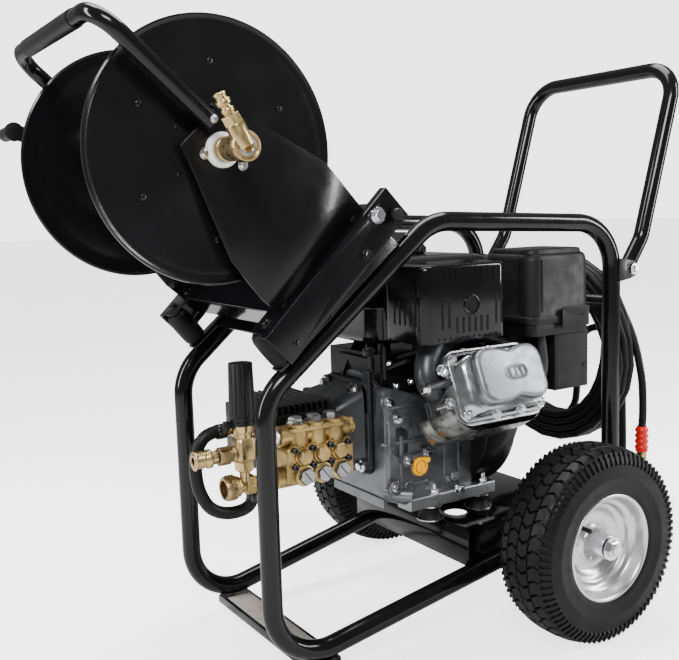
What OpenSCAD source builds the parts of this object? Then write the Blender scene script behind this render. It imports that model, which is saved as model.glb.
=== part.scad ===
// Wheeled pressure washer pump set: a triplex plunger pump with an engine, a gear reducer, a tube frame,
// a tilting hose reel and a hung delivery hose.
// +X runs from the pump to the push handle, +Y to the crank side of the reel, +Z up from the ground.
// Origin: middle of the footprint box, on the ground.

/* [Frame] */
// Diameter of the frame tube
tube_d = 31.75; // [30:0.25:33]
// Front posts to rear posts
frame_len = 700; // [695:1:705]
// Half spacing of the frame loops at the front posts
front_half = 152; // [150:0.5:154]
// Half spacing of the frame loops at the rear posts
rear_half = 184; // [182:0.5:186]
// Height of the top tubes' highest corner
top_z = 701; // [699:1:705]
// Height where each front post bends into its diagonal
knee_z = 450; // [446:1:452]

/* [Wheels] */
// Outer diameter of the tyres
tyre_d = 330; // [326:1:332]
// Width of the tyres
tyre_w = 104; // [100:1:106]
// Half spacing of the tyres' middle planes
track_half = 298; // [296:1:304]
// Diameter of the axle
axle_d = 20; // [18:0.5:20]

/* [Reel] */
// Diameter of the reel flanges
reel_d = 368; // [360:1:372]
// Width between the reel flanges
reel_w = 308; // [300:1:312]
// Diameter of the winding core
core_d = 170; // [150:1:180]

/* [Pump] */
// Distance between neighbouring plungers
plunger_pitch = 33; // [32:0.5:34]
// Diameter of the plungers
plunger_d = 18; // [16:0.5:18]
// Stroke of the plungers
stroke = 14; // [12:0.5:14]

/* [Engine] */
// Outer diameter of the fan shroud
shroud_d = 280; // [270:1:282]
// Lean of the cylinder above the horizontal
cyl_lean = 23; // [22:0.5:24]

/* [Hose] */
// Outer diameter of the delivery hose
hose_d = 14.5; // [13:0.5:15]
// Mean diameter of the hung coil
coil_d = 320; // [316:1:322]

/* [Hidden] */
$fn = 48;

bend_lap = 1.5;
bend_swell = 0.15;
front_x = -313;
tube_r = tube_d / 2;
base_z = 26;
foot_z = 28;
splay = atan((rear_half - front_half) / frame_len);
bend_r = 85;
rear_top_z = 685;
rear_base_z = 166;
diag_x = 303;
diag_slope = atan((top_z - knee_z) / diag_x);

tyre_r = tyre_d / 2;
axle_r = axle_d / 2;
axle_x = 521;
rim_r = 87;
bead_r = 81;
hub_half = 48;

deck_x0 = 367;
deck_x1 = 640;
deck_z = 180;
deck_half = 172;
sheet = 3;

reel_x = -63;
reel_z = 808;
reel_r = reel_d / 2;
reel_shaft_r = 14;
side_y = 178;
rail_u = 295;
rail_h = 58;
rail_angle = 44.4;
rail_y0 = 183;
rail_y1 = 200;
pivot_u = 255;
pivot_v = -18;
pivot_x = -18 + pivot_u * cos(rail_angle) - pivot_v * sin(rail_angle);
pivot_z = 548 + pivot_u * sin(rail_angle) + pivot_v * cos(rail_angle);

crank_z = 346;
pto_x = 252;
case_x1 = 440;
shroud_x1 = 508;
shroud_r = shroud_d / 2;
cyl_x = 394;

gear_module = 2.5;
pinion_teeth = 18;
gear_teeth = 40;
pump_y = gear_module * (pinion_teeth + gear_teeth) / 2;
gear_x0 = 206;
gear_x1 = 226;
pump_z = crank_z;
pump_x0 = 66;
pump_x1 = 190;
plunger_x = 97;
plunger_r = plunger_d / 2;
throw = stroke / 2;
head_y0 = -105;
head_y1 = -45;
unloader_y = -88;

hose_r = hose_d / 2;
coil_x = 745;
coil_z = 437;
coil_w = 60;
coil_t = 46;

// Route of the hose end with the red sleeve: from the coil's near side, over the rear post and down
tail_a = [
    [764, -128, 540], [770, -140, 527], [774, -153, 505], [776, -166, 478],
    [777, -177, 448], [777, -186, 415], [777, -192, 385], [776, -195, 350], [775, -196, 318],
    [774, -195, 300]
];
// Route of the other hose end: from the bottom of the coil up over its rim and down behind the wheel
tail_b = [
    [766, 20, 287], [771, -5, 293], [775, -20, 310], [776, -28, 335], [776, -29, 365], [776, -29, 395],
    [776, -29, 424], [776, -38, 451], [776, -58, 472], [776, -87, 480], [776, -116, 472], [776, -136, 451],
    [776, -144, 424], [776, -145, 390], [776, -146, 350], [776, -147, 310], [776, -148, 270],
    [776, -148, 230], [776, -148, 190], [776, -148, 160]
];

function fx(d) = front_x + d;
function unit(v) = v / norm(v);
function side_of(v) = unit(cross(v, abs(v.z) < 0.9 * norm(v) ? [0, 0, 1] : [1, 0, 0]));
function frame_of(o, x, z) = let (y = cross(z, x))
    [[x.x, y.x, z.x, o.x], [x.y, y.y, z.y, o.y], [x.z, y.z, z.z, o.z], [0, 0, 0, 1]];
function path_dir(p, i) = unit(p[min(i + 1, len(p) - 1)] - p[max(i - 1, 0)]);

// A round rod from point a to point b
module rod(a, b, r) {
    multmatrix(frame_of(a, side_of(b - a), unit(b - a))) cylinder(r = r, h = norm(b - a));
}

// One bend of a tube of radius r, at corner p, from direction d1 to direction d2
module elbow(p, d1, d2, radius, r) {
    turn = acos(d1 * d2);
    k = unit(cross(d1, d2));
    start = p - d1 * radius * tan(turn / 2);
    inward = cross(k, d1);
    multmatrix(frame_of(start + inward * radius, -inward, k))
        rotate_extrude(angle = turn) translate([radius, 0]) circle(r);
}

// A bent tube through the corners pts, with the same bend radius at each of them.
// Each bend is a shade thicker than the straights, whose ends reach a little way into it.
module bent_tube(pts, radius, r, closed = false) {
    n = len(pts);
    dirs = [for (i = [0:n - (closed ? 1 : 2)]) unit(pts[(i + 1) % n] - pts[i])];
    function cut(i) = !closed && (i == 0 || i == n - 1) ? 0
        : radius * tan(acos(dirs[(i + n - 1) % n] * dirs[i % n]) / 2) - bend_lap;
    for (i = [0:len(dirs) - 1])
        rod(pts[i] + dirs[i] * cut(i), pts[(i + 1) % n] - dirs[i] * cut((i + 1) % n), r);
    for (i = [(closed ? 0 : 1):n - (closed ? 1 : 2)])
        elbow(pts[i], dirs[(i + n - 1) % n], dirs[i], radius, r + bend_swell);
}

// A hose of radius r swept along a route of close points, with an n-sided section
module hose_sweep(p, r, n = 8) {
    rings = [for (i = [0:len(p) - 1]) let (t = path_dir(p, i), s = side_of(t), u = cross(t, s))
        for (k = [0:n - 1]) p[i] + r * (s * cos(360 * k / n) + u * sin(360 * k / n))];
    sides = [for (i = [0:len(p) - 2]) for (k = [0:n - 1])
        [i * n + k, i * n + (k + 1) % n, (i + 1) * n + (k + 1) % n, (i + 1) * n + k]];
    ends = [[for (k = [n - 1:-1:0]) k], [for (k = [0:n - 1]) (len(p) - 1) * n + k]];
    polyhedron(rings, concat(sides, ends));
}

// A cylinder along X, starting at x
module disc_x(x, y, z, r, len, fn = 48) {
    translate([x, y, z]) rotate([0, 90, 0]) cylinder(r = r, h = len, $fn = fn);
}

// A cylinder along Y, starting at y
module disc_y(x, y, z, r, len, fn = 48) {
    translate([x, y, z]) rotate([-90, 0, 0]) cylinder(r = r, h = len, $fn = fn);
}

// A flat plate with rounded corners, centred, standing on z = 0
module rounded_plate(w, d, r, t) {
    linear_extrude(t) {
        square([w - 2 * r, d], center = true);
        square([w, d - 2 * r], center = true);
        for (sx = [-1, 1], sy = [-1, 1]) translate([sx * (w / 2 - r), sy * (d / 2 - r)]) circle(r);
    }
}

// A box from its low corner to its high corner
module box(lo, hi) {
    translate(lo) cube(hi - lo);
}

// ---- frame ----

module frame_loop(side) {
    corners = [
        [0, 0, base_z], [0, 0, knee_z], [diag_x, 0, top_z],
        [frame_len, 0, rear_top_z], [frame_len, 0, rear_base_z]
    ];
    translate([fx(0), side * front_half, 0]) rotate([0, 0, side * splay])
        bent_tube(corners, bend_r, tube_r, closed = true);
}

module left_frame_loop() { color([0.03, 0.03, 0.035]) frame_loop(-1); }
module right_frame_loop() { color([0.03, 0.03, 0.035]) frame_loop(1); }

// Folded bar under the front bends, with the two pads that the machine stands on
module cross_foot() {
    half = 166;
    low_x = bend_r;
    color([0.05, 0.05, 0.055]) {
        box([fx(low_x - 31), -half, foot_z - 3], [fx(low_x + 25), half, foot_z]);
        for (x = [low_x - 31, low_x + 22]) box([fx(x), -half, foot_z - 14], [fx(x + 3), half, foot_z]);
        for (s = [-1, 1]) translate([fx(low_x - 3), s * 152, 0]) cylinder(r = 15, h = foot_z - 2);
    }
}

// Sheet box that carries the engine, with the axle through its sides
module engine_deck() {
    low_z = deck_z - 66;
    rise = (rear_base_z - base_z) / frame_len;
    rear_low = low_z + rise * (deck_x1 - deck_x0);
    color([0.03, 0.03, 0.035]) difference() {
        union() {
            box([fx(deck_x0), -deck_half, deck_z - sheet], [fx(deck_x1), deck_half, deck_z]);
            box([fx(deck_x0), -deck_half, low_z], [fx(deck_x0) + sheet, deck_half, deck_z]);
            for (s = [-1, 1]) translate([0, s * (deck_half - sheet / 2) + sheet / 2, 0]) rotate([90, 0, 0])
                linear_extrude(sheet) polygon([
                    [fx(deck_x0), low_z], [fx(deck_x0), deck_z], [fx(deck_x1), deck_z],
                    [fx(deck_x1), rear_low]
                ]);
        }
        disc_y(fx(axle_x), -deck_half - 1, tyre_r, axle_r + 0.05, 2 * deck_half + 2);
        for (s = [-1, 1]) translate([fx(412), s * 84, deck_z - sheet - 1]) cylinder(r = 20, h = sheet + 2);
    }
}

module axle() {
    color([0.6, 0.6, 0.62]) disc_y(fx(axle_x), -track_half - 62, tyre_r, axle_r, 2 * track_half + 124);
}

// Axle nuts, reel pivot bolts and handle pivot bolts
module frame_bolts() {
    color([0.75, 0.75, 0.77]) for (s = [-1, 1]) {
        translate([0, s * (track_half + 55), 0]) difference() {
            disc_y(fx(axle_x), -6, tyre_r, 16, 12, 6);
            disc_y(fx(axle_x), -7, tyre_r, axle_r - 0.1, 14);
        }
        along_rail() translate([pivot_u, 0, pivot_v]) {
            disc_y(0, s * 182 - 24, 0, 6, 48);
            disc_y(0, s * 205 - 4, 0, 10, 8, 6);
        }
        disc_y(fx(handle_x), s * rear_half - 21, handle_z, 5, 42);
        disc_y(fx(handle_x), s * (rear_half + 24.5) - 4, handle_z, 9, 8, 6);
        for (x = mount_xs) translate([fx(x), s * 82, deck_z]) {
            cylinder(r = 5, h = 44);
            if (x > 450) translate([0, 0, 38]) cylinder(r = 9, h = 6.5, $fn = 6);
        }
    }
}

// Sloping tray on the diagonals, with upright cheeks that carry the reel's pivot bolts
module reel_platform() {
    plate_len = 245;
    cheek = 5;
    color([0.05, 0.05, 0.055]) {
        on_diagonal() {
            box([100, -168, tube_r + 0.2], [100 + plate_len, 168, tube_r + 5.2]);
            for (s = [-1, 1]) translate([0, s * 154 - 14, 0])
                box([44, 0, tube_r + 0.2], [101, 28, tube_r + 5.2]);
        }
        for (s = [-1, 1]) translate([0, s * 168.5 + cheek / 2, 0]) rotate([90, 0, 0]) linear_extrude(cheek)
            difference() {
                union() {
                    polygon([[fx(105), 562], [fx(236), 668], [fx(186), 711], [fx(170), 716]]);
                    translate([fx(pivot_x), pivot_z]) circle(14);
                }
                translate([fx(pivot_x), pivot_z]) circle(6.05);
            }
    }
}

// Frame of reference on the diagonals: X up along them, Z square to them, from the front posts' corners
module on_diagonal() {
    translate([fx(0), 0, knee_z]) rotate([0, -diag_slope, 0]) children();
}

hook_z = 545;
module rear_crossbar() {
    y1 = rear_half - tube_r + 3;
    color([0.08, 0.08, 0.09]) {
        rod([fx(frame_len), -y1, hook_z], [fx(frame_len), y1, hook_z], 8);
        for (y = [-60, 60]) bent_tube([
            [fx(frame_len) + 2, y, hook_z], [fx(coil_x) + 42, y, hook_z], [fx(coil_x) + 42, y, hook_z + 40]
        ], 14, 5);
        for (s = [-1, 1], k = [-1, 1]) difference() {
            translate([0, s * rear_half + k * 16.5 + 1.5, 0]) rotate([90, 0, 0]) linear_extrude(3) polygon([
                [fx(frame_len), 580], [fx(frame_len), 622], [fx(738), 616], [fx(752), 604], [fx(746), 590],
                [fx(730), 584]
            ]);
            disc_y(fx(handle_x), s * rear_half + k * 16.5 - 3, handle_z, 5.02, 6);
        }
    }
}

handle_x = 738;
handle_z = 601;
handle_tube_r = 14;
module push_handle() {
    y = rear_half;
    corners = [
        [fx(handle_x), -y, handle_z], [fx(778), -y, 656], [fx(872), -y, 969],
        [fx(872), y, 969], [fx(778), y, 656], [fx(handle_x), y, handle_z]
    ];
    color([0.03, 0.03, 0.035]) difference() {
        union() {
            bent_tube(corners, 62, handle_tube_r);
            for (s = [-1, 1]) disc_y(fx(handle_x), s * y - 13.5, handle_z, 15.5, 27);
        }
        for (s = [-1, 1]) disc_y(fx(handle_x), s * y - 20, handle_z, 5.05, 40);
    }
}

// ---- wheels ----

module tyre(side) {
    r = tyre_r;
    w = tyre_w / 2;
    color([0.06, 0.06, 0.06]) translate([fx(axle_x), side * track_half, r]) rotate([90, 0, 0])
        rotate_extrude($fn = 96) difference() {
            union() {
                translate([bead_r, -w + 12]) square([r - bead_r - 18, 2 * w - 24]);
                translate([bead_r + 10, -w]) square([r - bead_r - 34, 2 * w]);
                for (s = [-1, 1]) {
                    translate([r - 24, s * (w - 18)]) circle(18);
                    translate([bead_r + 12, s * (w - 12)]) circle(12);
                }
                translate([r - 26, -w + 22]) square([26, 2 * w - 44]);
            }
            for (s = [-1, 1]) translate([bead_r - 10, s > 0 ? w - 11 : -w - 1]) square([20, 12]);
        }
}

module left_tyre() { tyre(-1); }
module right_tyre() { tyre(1); }

// Pressed steel rim with its hub tube, turning on the axle
module rim(side) {
    color([0.75, 0.75, 0.77]) translate([fx(axle_x), side * track_half, tyre_r])
        rotate([90, 0, 0]) rotate_extrude($fn = 96) {
            for (s = [-1, 1]) {
                translate([bead_r - 3, s * 45 - 2]) square([rim_r - bead_r + 3, 4]);
                translate([rim_r, s * 45]) circle(3);
            }
            translate([bead_r - 3, -45]) square([2.9, 90]);
            translate([18, -4]) square([bead_r - 20, 4]);
            translate([axle_r + 0.06, -hub_half]) square([10, 2 * hub_half]);
        }
}

module left_rim() { rim(-1); }
module right_rim() { rim(1); }

// ---- hose reel ----

module along_rail() {
    translate([fx(-18), 0, 548]) rotate([0, -rail_angle, 0]) children();
}

// Two channel rails joined by the base plate and the front apron
module reel_base() {
    color([0.04, 0.04, 0.045]) along_rail() {
        for (s = [-1, 1]) difference() {
            union() {
                translate([0, s > 0 ? rail_y1 - sheet : -rail_y1, -rail_h]) cube([rail_u, sheet, rail_h]);
                for (z = [-rail_h, -sheet])
                    translate([0, s > 0 ? rail_y0 : -rail_y1, z]) cube([rail_u, rail_y1 - rail_y0, sheet]);
            }
            translate([pivot_u, 0, pivot_v]) disc_y(0, s * 191 - 12, 0, 6.05, 24);
        }
        box([46, -rail_y0 - 1, -sheet], [262, rail_y0 + 1, 0]);
        for (s = [-1, 1]) box([5, s > 0 ? 145 : -rail_y0 - 1, -sheet], [47, s > 0 ? rail_y0 + 1 : -145, 0]);
        box([46, -rail_y0 - 1, -38], [49, rail_y0 + 1, 0]);
    }
}

module side_plate(side) {
    outline = [
        [46, 0.1], [254, 0.1], [257, 90], [221, 196], [186, 262], [112, 262], [101, 230], [50, 104], [43, 34]
    ];
    color([0.05, 0.05, 0.055]) difference() {
        along_rail() translate([0, side * (side_y - sheet / 2) + sheet / 2, 0]) rotate([90, 0, 0])
            linear_extrude(sheet) polygon(outline);
        disc_y(fx(reel_x), side * side_y - 10, reel_z, 20.05, 20);
    }
}

module left_side_plate() { side_plate(-1); }
module right_side_plate() { side_plate(1); }

module carry_handle() {
    r = 12;
    y = 193;
    corners = [
        [fx(-80), -y, 843], [fx(-232), -y, 978], [fx(-232), y, 978], [fx(-80), y, 843]
    ];
    color([0.04, 0.04, 0.045]) {
        bent_tube(corners, 42, r);
        for (s = [-1, 1]) disc_y(fx(-84), s * 184.5 - 4.5, 846, 7, 9);
    }
}

module reel_bushings() {
    color([0.85, 0.85, 0.82]) for (s = [-1, 1]) difference() {
        union() {
            disc_y(fx(reel_x), s * side_y - 5, reel_z, 20, 10);
            disc_y(fx(reel_x), s * (side_y + 6) - 3, reel_z, 24, 6);
        }
        disc_y(fx(reel_x), s * side_y - 12, reel_z, reel_shaft_r + 0.06, 30);
    }
}

module reel_drum() {
    core_r = core_d / 2;
    w = reel_w / 2 - 2;
    color([0.05, 0.05, 0.055]) {
        difference() {
            disc_y(fx(reel_x), -w, reel_z, core_r, 2 * w);
            disc_y(fx(reel_x), -w + 3, reel_z, core_r - 3, 2 * w - 6);
        }
        disc_y(fx(reel_x), -side_y - 14, reel_z, reel_shaft_r, side_y + 14 + crank_y + 6);
    }
    color([0.75, 0.6, 0.3]) rod([fx(reel_x) - core_r + 2, 40, reel_z - 8],
        [fx(reel_x) - core_r - 26, 40, reel_z - 12], 10);
}

module reel_flange(side) {
    y = side * reel_w / 2;
    color([0.04, 0.04, 0.045]) difference() {
        translate([fx(reel_x), y, reel_z]) rotate([90, 0, 0]) rotate_extrude($fn = 120) {
            translate([10, -1]) square([reel_r - 14, 2]);
            translate([reel_r - 4, 0]) circle(4);
        }
        disc_y(fx(reel_x), y - 4, reel_z, reel_shaft_r + 0.05, 8);
    }
}

module left_flange() { reel_flange(-1); }
module right_flange() { reel_flange(1); }

// Crank arm on the far end of the reel shaft
crank_x = -240;
crank_gz = 862;
crank_y = 208;
module reel_crank() {
    reach = norm([crank_x - reel_x, crank_gz - reel_z]);
    lift = atan2(crank_gz - reel_z, reel_x - crank_x);
    color([0.1, 0.1, 0.11]) difference() {
        union() {
            translate([fx(reel_x), crank_y, reel_z]) rotate([0, lift, 0]) box([-reach, 0, -12], [0, 6, 12]);
            disc_y(fx(reel_x), crank_y - 4, reel_z, 20, 16);
            disc_y(fx(crank_x), crank_y - 0.5, crank_gz, 15, 7);
            disc_y(fx(crank_x), crank_y + 5, crank_gz, 5, 60);
            disc_y(fx(crank_x), crank_y + 64.5, crank_gz, 7, 3.5);
        }
        disc_y(fx(reel_x), crank_y - 5, reel_z, reel_shaft_r + 0.02, 13);
    }
}

module crank_grip() {
    color([0.08, 0.08, 0.08]) difference() {
        disc_y(fx(crank_x), crank_y + 6.5, crank_gz, 11.5, 57.5);
        disc_y(fx(crank_x), crank_y + 5, crank_gz, 5.06, 62);
    }
}

// Brass inlet swivel on the reel shaft, with its branch and plug
module reel_swivel() {
    x = fx(reel_x);
    y = -256;
    branch = [-0.47, 0, 0.88];
    o = [x, y, reel_z];
    color([0.78, 0.62, 0.3]) {
        difference() {
            union() {
                disc_y(x, -side_y - 68, reel_z, 17.5, 56);
                disc_y(x, y - 18, reel_z, 19, 30);
            }
            disc_y(x, -side_y - 20, reel_z, reel_shaft_r + 0.06, 9);
        }
        rod(o, o + branch * 34, 13);
        rod(o + branch * 33, o + branch * 46, 11.5, $fn = 6);
        rod(o + branch * 45, o + branch * 61, 7);
        rod(o + branch * 60, o + branch * 74, 8.5);
    }
}

// ---- engine ----

mount_xs = [355, 465];
module rubber_mounts() {
    color([0.05, 0.05, 0.05]) {
        for (x = mount_xs, s = [-1, 1]) translate([fx(x), s * 82, deck_z])
            difference() {
                cylinder(r = 19, h = 26);
                translate([0, 0, -1]) cylinder(r = 5.1, h = 28);
            }
        on_diagonal() for (s = [-1, 1]) for (i = [0:2]) {
            translate([62, s * 158, tube_r + 5.2 + i * 21]) cylinder(r = 13, h = 21.05);
            translate([62, s * 158, tube_r + 11 + i * 21]) cylinder(r = 16, h = 9);
        }
    }
}

engine_base = deck_z + 26;
module engine_crankcase() {
    case_r = 92;
    case_y = 88;
    color([0.33, 0.34, 0.35]) difference() {
        union() {
            disc_x(fx(pto_x), 0, crank_z, case_r, case_x1 - pto_x);
            box([fx(pto_x), -case_y, engine_base + 6], [fx(case_x1), case_y, crank_z]);
            for (s = [-1, 1]) translate([0, s * 84 - 20, 0])
                box([fx(pto_x + 40), 0, engine_base], [fx(490), 40, engine_base + 12]);
            translate([fx(cyl_x), 0, crank_z]) rotate([90 - cyl_lean, 0, 0])
                box([-44, -58, 60], [44, 58, 96]);
        }
        disc_x(fx(pto_x + 14), 0, crank_z, 74, case_x1 - pto_x - 28);
        disc_x(fx(pto_x - 1), 0, crank_z, 18.06, case_x1 - pto_x + 2);
        translate([fx(cyl_x), 0, crank_z]) rotate([90 - cyl_lean, 0, 0]) cylinder(r = 38, h = 120);
        for (x = mount_xs, s = [-1, 1]) translate([fx(x), s * 82, engine_base - 1]) cylinder(r = 5.1, h = 20);
        disc_y(fx(320), -case_y - 1, 283, 9.05, 24);
    }
}

// Finned cylinder and head on the leaning deck of the crankcase
module engine_cylinder() {
    color([0.62, 0.63, 0.64]) translate([fx(cyl_x), 0, crank_z]) rotate([90 - cyl_lean, 0, 0]) {
        difference() {
            union() {
                translate([0, 0, 96]) cylinder(r = 46, h = 106);
                for (i = [0:9]) translate([i < 5 ? -8 : 0, 0, 104 + 9.5 * i])
                    rounded_plate(i < 5 ? 106 : 150, 116, 14, 3);
            }
            translate([0, 0, 95]) cylinder(r = 38, h = 90);
        }
        translate([0, 0, 198]) rounded_plate(184, 124, 12, 30);
    }
}

module valve_cover() {
    color([0.8, 0.81, 0.83]) translate([fx(cyl_x), 0, crank_z]) rotate([90 - cyl_lean, 0, 0]) {
        translate([0, 0, 228]) rounded_plate(178, 116, 16, 5);
        translate([2, 0, 233]) rounded_plate(152, 104, 22, 14);
        translate([4, 0, 247]) rounded_plate(136, 96, 24, 22);
    }
}

function tooth(rp, rt, rr, a, m) = let (p = m * 0.56, t = m * 0.26, b = m * 0.8)
    [for (q = [[rr, -b], [rp, -p], [rt, -t], [rt, t], [rp, p], [rr, b]])
        [q.x * cos(a) - q.y * sin(a), q.x * sin(a) + q.y * cos(a)]];

// A plain gear blank with straight-sided teeth, axis along Z
module spur(teeth, phase, h) {
    rp = gear_module * teeth / 2;
    rr = rp - 1.3 * gear_module;
    linear_extrude(h) {
        circle(rr + 0.2);
        for (i = [0:teeth - 1])
            polygon(tooth(rp, rp + 0.8 * gear_module, rr - 1, phase + i * 360 / teeth, gear_module));
    }
}

module engine_crankshaft() {
    color([0.55, 0.55, 0.57]) {
        disc_x(fx(200), 0, crank_z, 12, gear_x0 - 200);
        translate([fx(gear_x0), 0, crank_z]) rotate([0, 90, 0]) rotate([0, 0, 90])
            spur(pinion_teeth, 0, gear_x1 - gear_x0);
        disc_x(fx(gear_x1), 0, crank_z, 12, 24);
        disc_x(fx(250), 0, crank_z, 18, 50);
        disc_x(fx(372), 0, crank_z, 18, 90);
        for (x = [300, 352]) disc_x(fx(x), 0, crank_z, 44, 20);
        disc_x(fx(320), 0, crank_z + 24, 16, 32);
        disc_x(fx(462), 0, crank_z, 12, 34);
    }
}

module flywheel() {
    color([0.25, 0.25, 0.26]) difference() {
        union() {
            disc_x(fx(458), 0, crank_z, 106, 22);
            for (i = [0:15]) rotate_about_crank(i * 22.5) translate([fx(478), 60, -2]) cube([16, 44, 4]);
        }
        disc_x(fx(457), 0, crank_z, 18.02, 5.1);
        disc_x(fx(457), 0, crank_z, 12.02, 40);
    }
}

module rotate_about_crank(a) {
    translate([0, 0, crank_z]) rotate([a, 0, 0]) children();
}

// Fan housing with the recoil starter cover
module fan_shroud() {
    recoil_r = 104;
    x2 = shroud_x1 + 42;
    color([0.05, 0.05, 0.055]) difference() {
        union() {
            disc_x(fx(case_x1), 0, crank_z, shroud_r, shroud_x1 - case_x1, 96);
            disc_x(fx(shroud_x1), 0, crank_z, recoil_r, 42, 96);
        }
        disc_x(fx(case_x1 + 4), 0, crank_z, shroud_r - 6, shroud_x1 - case_x1 - 8, 96);
        disc_x(fx(case_x1 - 1), 0, crank_z, 30, 20);
        disc_x(fx(shroud_x1 - 6), 0, crank_z, recoil_r - 4, 44, 96);
        for (i = [0:11]) rotate_about_crank(i * 30) translate([fx(x2 - 8), 50, -5]) cube([10, 36, 10]);
    }
}

recoil_y = 45;
module recoil_grip() {
    x = fx(shroud_x1 + 44);
    z = crank_z + 62;
    color([0.06, 0.06, 0.06]) {
        disc_x(x, recoil_y, z, 7, 14);
        translate([x + 22, recoil_y - 42, z]) rotate([-90, 0, 0]) cylinder(r = 10, h = 84);
    }
}

guard_y0 = -200;
module muffler_guard() {
    lo = [fx(258), guard_y0, 508];
    hi = [fx(436), -88, 632];
    middle = (lo + hi) / 2;
    length = hi.x - lo.x;
    color([0.03, 0.03, 0.035]) difference() {
        translate([lo.x, middle.y, middle.z]) rotate([0, 90, 0])
            rounded_plate(hi.z - lo.z, hi.y - lo.y, 18, length);
        box(lo + [3, 3, -1], hi - [3, -1, 3]);
        for (i = [0:5]) box([fx(352 + i * 9), guard_y0 - 1, 522], [fx(356 + i * 9), guard_y0 + 4, 548]);
        for (i = [0:9]) box([fx(292 + i * 13), -186, 628], [fx(297 + i * 13), -120, 634]);
        disc_y(fx(356), guard_y0 - 1, 566, 13, 5);
    }
    color([0.12, 0.12, 0.12]) box([fx(276), -186, 522], [fx(420), -96, 618]);
    color([0.12, 0.12, 0.12]) box([fx(300), -96, 540], [fx(340), -70, 580]);
}

filter_x0 = 482;
filter_x1 = 626;
module air_filter_base() {
    color([0.05, 0.05, 0.055]) {
        translate([fx((filter_x0 + filter_x1) / 2), -141, 500])
            rounded_plate(filter_x1 - filter_x0, 124, 16, 20);
        box([fx(545), -196, 400], [fx(626), -100, 500.1]);
        box([fx(508), -120, 440], [fx(546), -84, 500.1]);
    }
}

module air_filter_cover() {
    z0 = 520.5;
    color([0.06, 0.06, 0.065]) translate([fx((filter_x0 + filter_x1) / 2), -141, z0]) difference() {
        union() {
            rounded_plate(filter_x1 - filter_x0 + 4, 128, 18, 118);
            translate([0, 0, 118]) rounded_plate(filter_x1 - filter_x0 - 12, 112, 14, 8);
        }
        translate([0, 0, -1]) rounded_plate(filter_x1 - filter_x0 - 4, 120, 14, 112);
    }
}

latch_z = 545;
module air_filter_latch() {
    color([0.06, 0.06, 0.065]) difference() {
        union() {
            box([fx(548), -212, 512], [fx(612), -208.4, latch_z]);
            disc_x(fx(552), -210.2, latch_z, 2, 56);
        }
        box([fx(560), -213, 530], [fx(600), -210.5, 532]);
    }
}

module fuel_tank() {
    color([0.03, 0.03, 0.035]) difference() {
        union() {
            translate([fx(402), 48, 492]) rounded_plate(286, 232, 36, 132);
            translate([fx(402), 48, 624]) rounded_plate(262, 208, 30, 8);
            translate([fx(430), 70, 630]) cylinder(r = 30, h = 8);
            box([fx(446), -14, 484], [fx(502), 14, 493]);
        }
        translate([fx(402), 48, 496]) rounded_plate(278, 224, 32, 124);
        translate([fx(430), 70, 600]) cylinder(r = 22, h = 60);
    }
}

module fuel_cap() {
    color([0.03, 0.03, 0.035]) translate([fx(430), 70, 638.3]) {
        cylinder(r = 33, h = 16);
        translate([0, 0, -14]) cylinder(r = 21.9, h = 15);
    }
}

module oil_cap() {
    color([0.95, 0.65, 0.05]) {
        disc_y(fx(320), -106, 283, 14, 17.7);
        disc_y(fx(320), -89, 283, 9, 20);
        box([fx(318), -114, 272], [fx(322), -105, 294]);
    }
}

lever_x = 246;
lever_y = -64;
lever_z = 446;
module throttle_lever() {
    color([0.1, 0.1, 0.1]) difference() {
        union() {
            disc_x(fx(lever_x), lever_y, lever_z, 9, 4);
            box([fx(lever_x), lever_y - 4, lever_z], [fx(lever_x + 4), lever_y + 4, lever_z + 40]);
            disc_x(fx(lever_x - 8), lever_y, lever_z + 40, 8, 16);
        }
        disc_x(fx(lever_x - 1), lever_y, lever_z, 3.05, 6);
    }
}

// ---- gear reducer ----

module reducer_housing() {
    x0 = pump_x1;
    x1 = pto_x;
    color([0.2, 0.2, 0.21]) difference() {
        union() {
            disc_x(fx(x0 + 8), 0, crank_z, 46, x1 - x0 - 8);
            disc_x(fx(x0), pump_y, pump_z, 68, 46);
            box([fx(x0 + 8), -20, crank_z - 46], [fx(x0 + 46), pump_y, crank_z + 46]);
            box([fx(x1 - 12), -56, crank_z - 62], [fx(x1), 56, crank_z + 62]);
            for (y = [-42, 42], z = [-67, 67]) disc_x(fx(x1 - 14), y, crank_z + z, 11, 14);
            for (y = [-42, 42], z = [-67, 67]) disc_x(fx(x1 - 18), y, crank_z + z, 6.5, 5, 6);
        }
        disc_x(fx(gear_x0 - 2), 0, crank_z, 28, x1 - gear_x0 + 3);
        disc_x(fx(x0 + 8), pump_y, pump_z, 56, 34);
        disc_x(fx(x0 - 1), pump_y, pump_z, 12.06, 60);
        disc_x(fx(x0 + 9), 0, crank_z, 12.06, 30);
    }
    color([0.2, 0.2, 0.21]) {
        box([fx(lever_x - 6), lever_y - 6, 380], [fx(lever_x - 2), -50, lever_z + 8]);
        disc_x(fx(lever_x - 4), lever_y, lever_z, 3, 10);
    }
}

module reducer_gear() {
    color([0.5, 0.5, 0.52]) translate([fx(gear_x0 + 2), pump_y, pump_z]) rotate([0, 90, 0]) difference() {
        spur(gear_teeth, 90 + 180 / gear_teeth, gear_x1 - gear_x0 - 4);
        translate([0, 0, -1]) cylinder(r = 12.02, h = 40);
    }
}

// ---- pump ----

function phase(i) = 90 + 120 * i;

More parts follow.
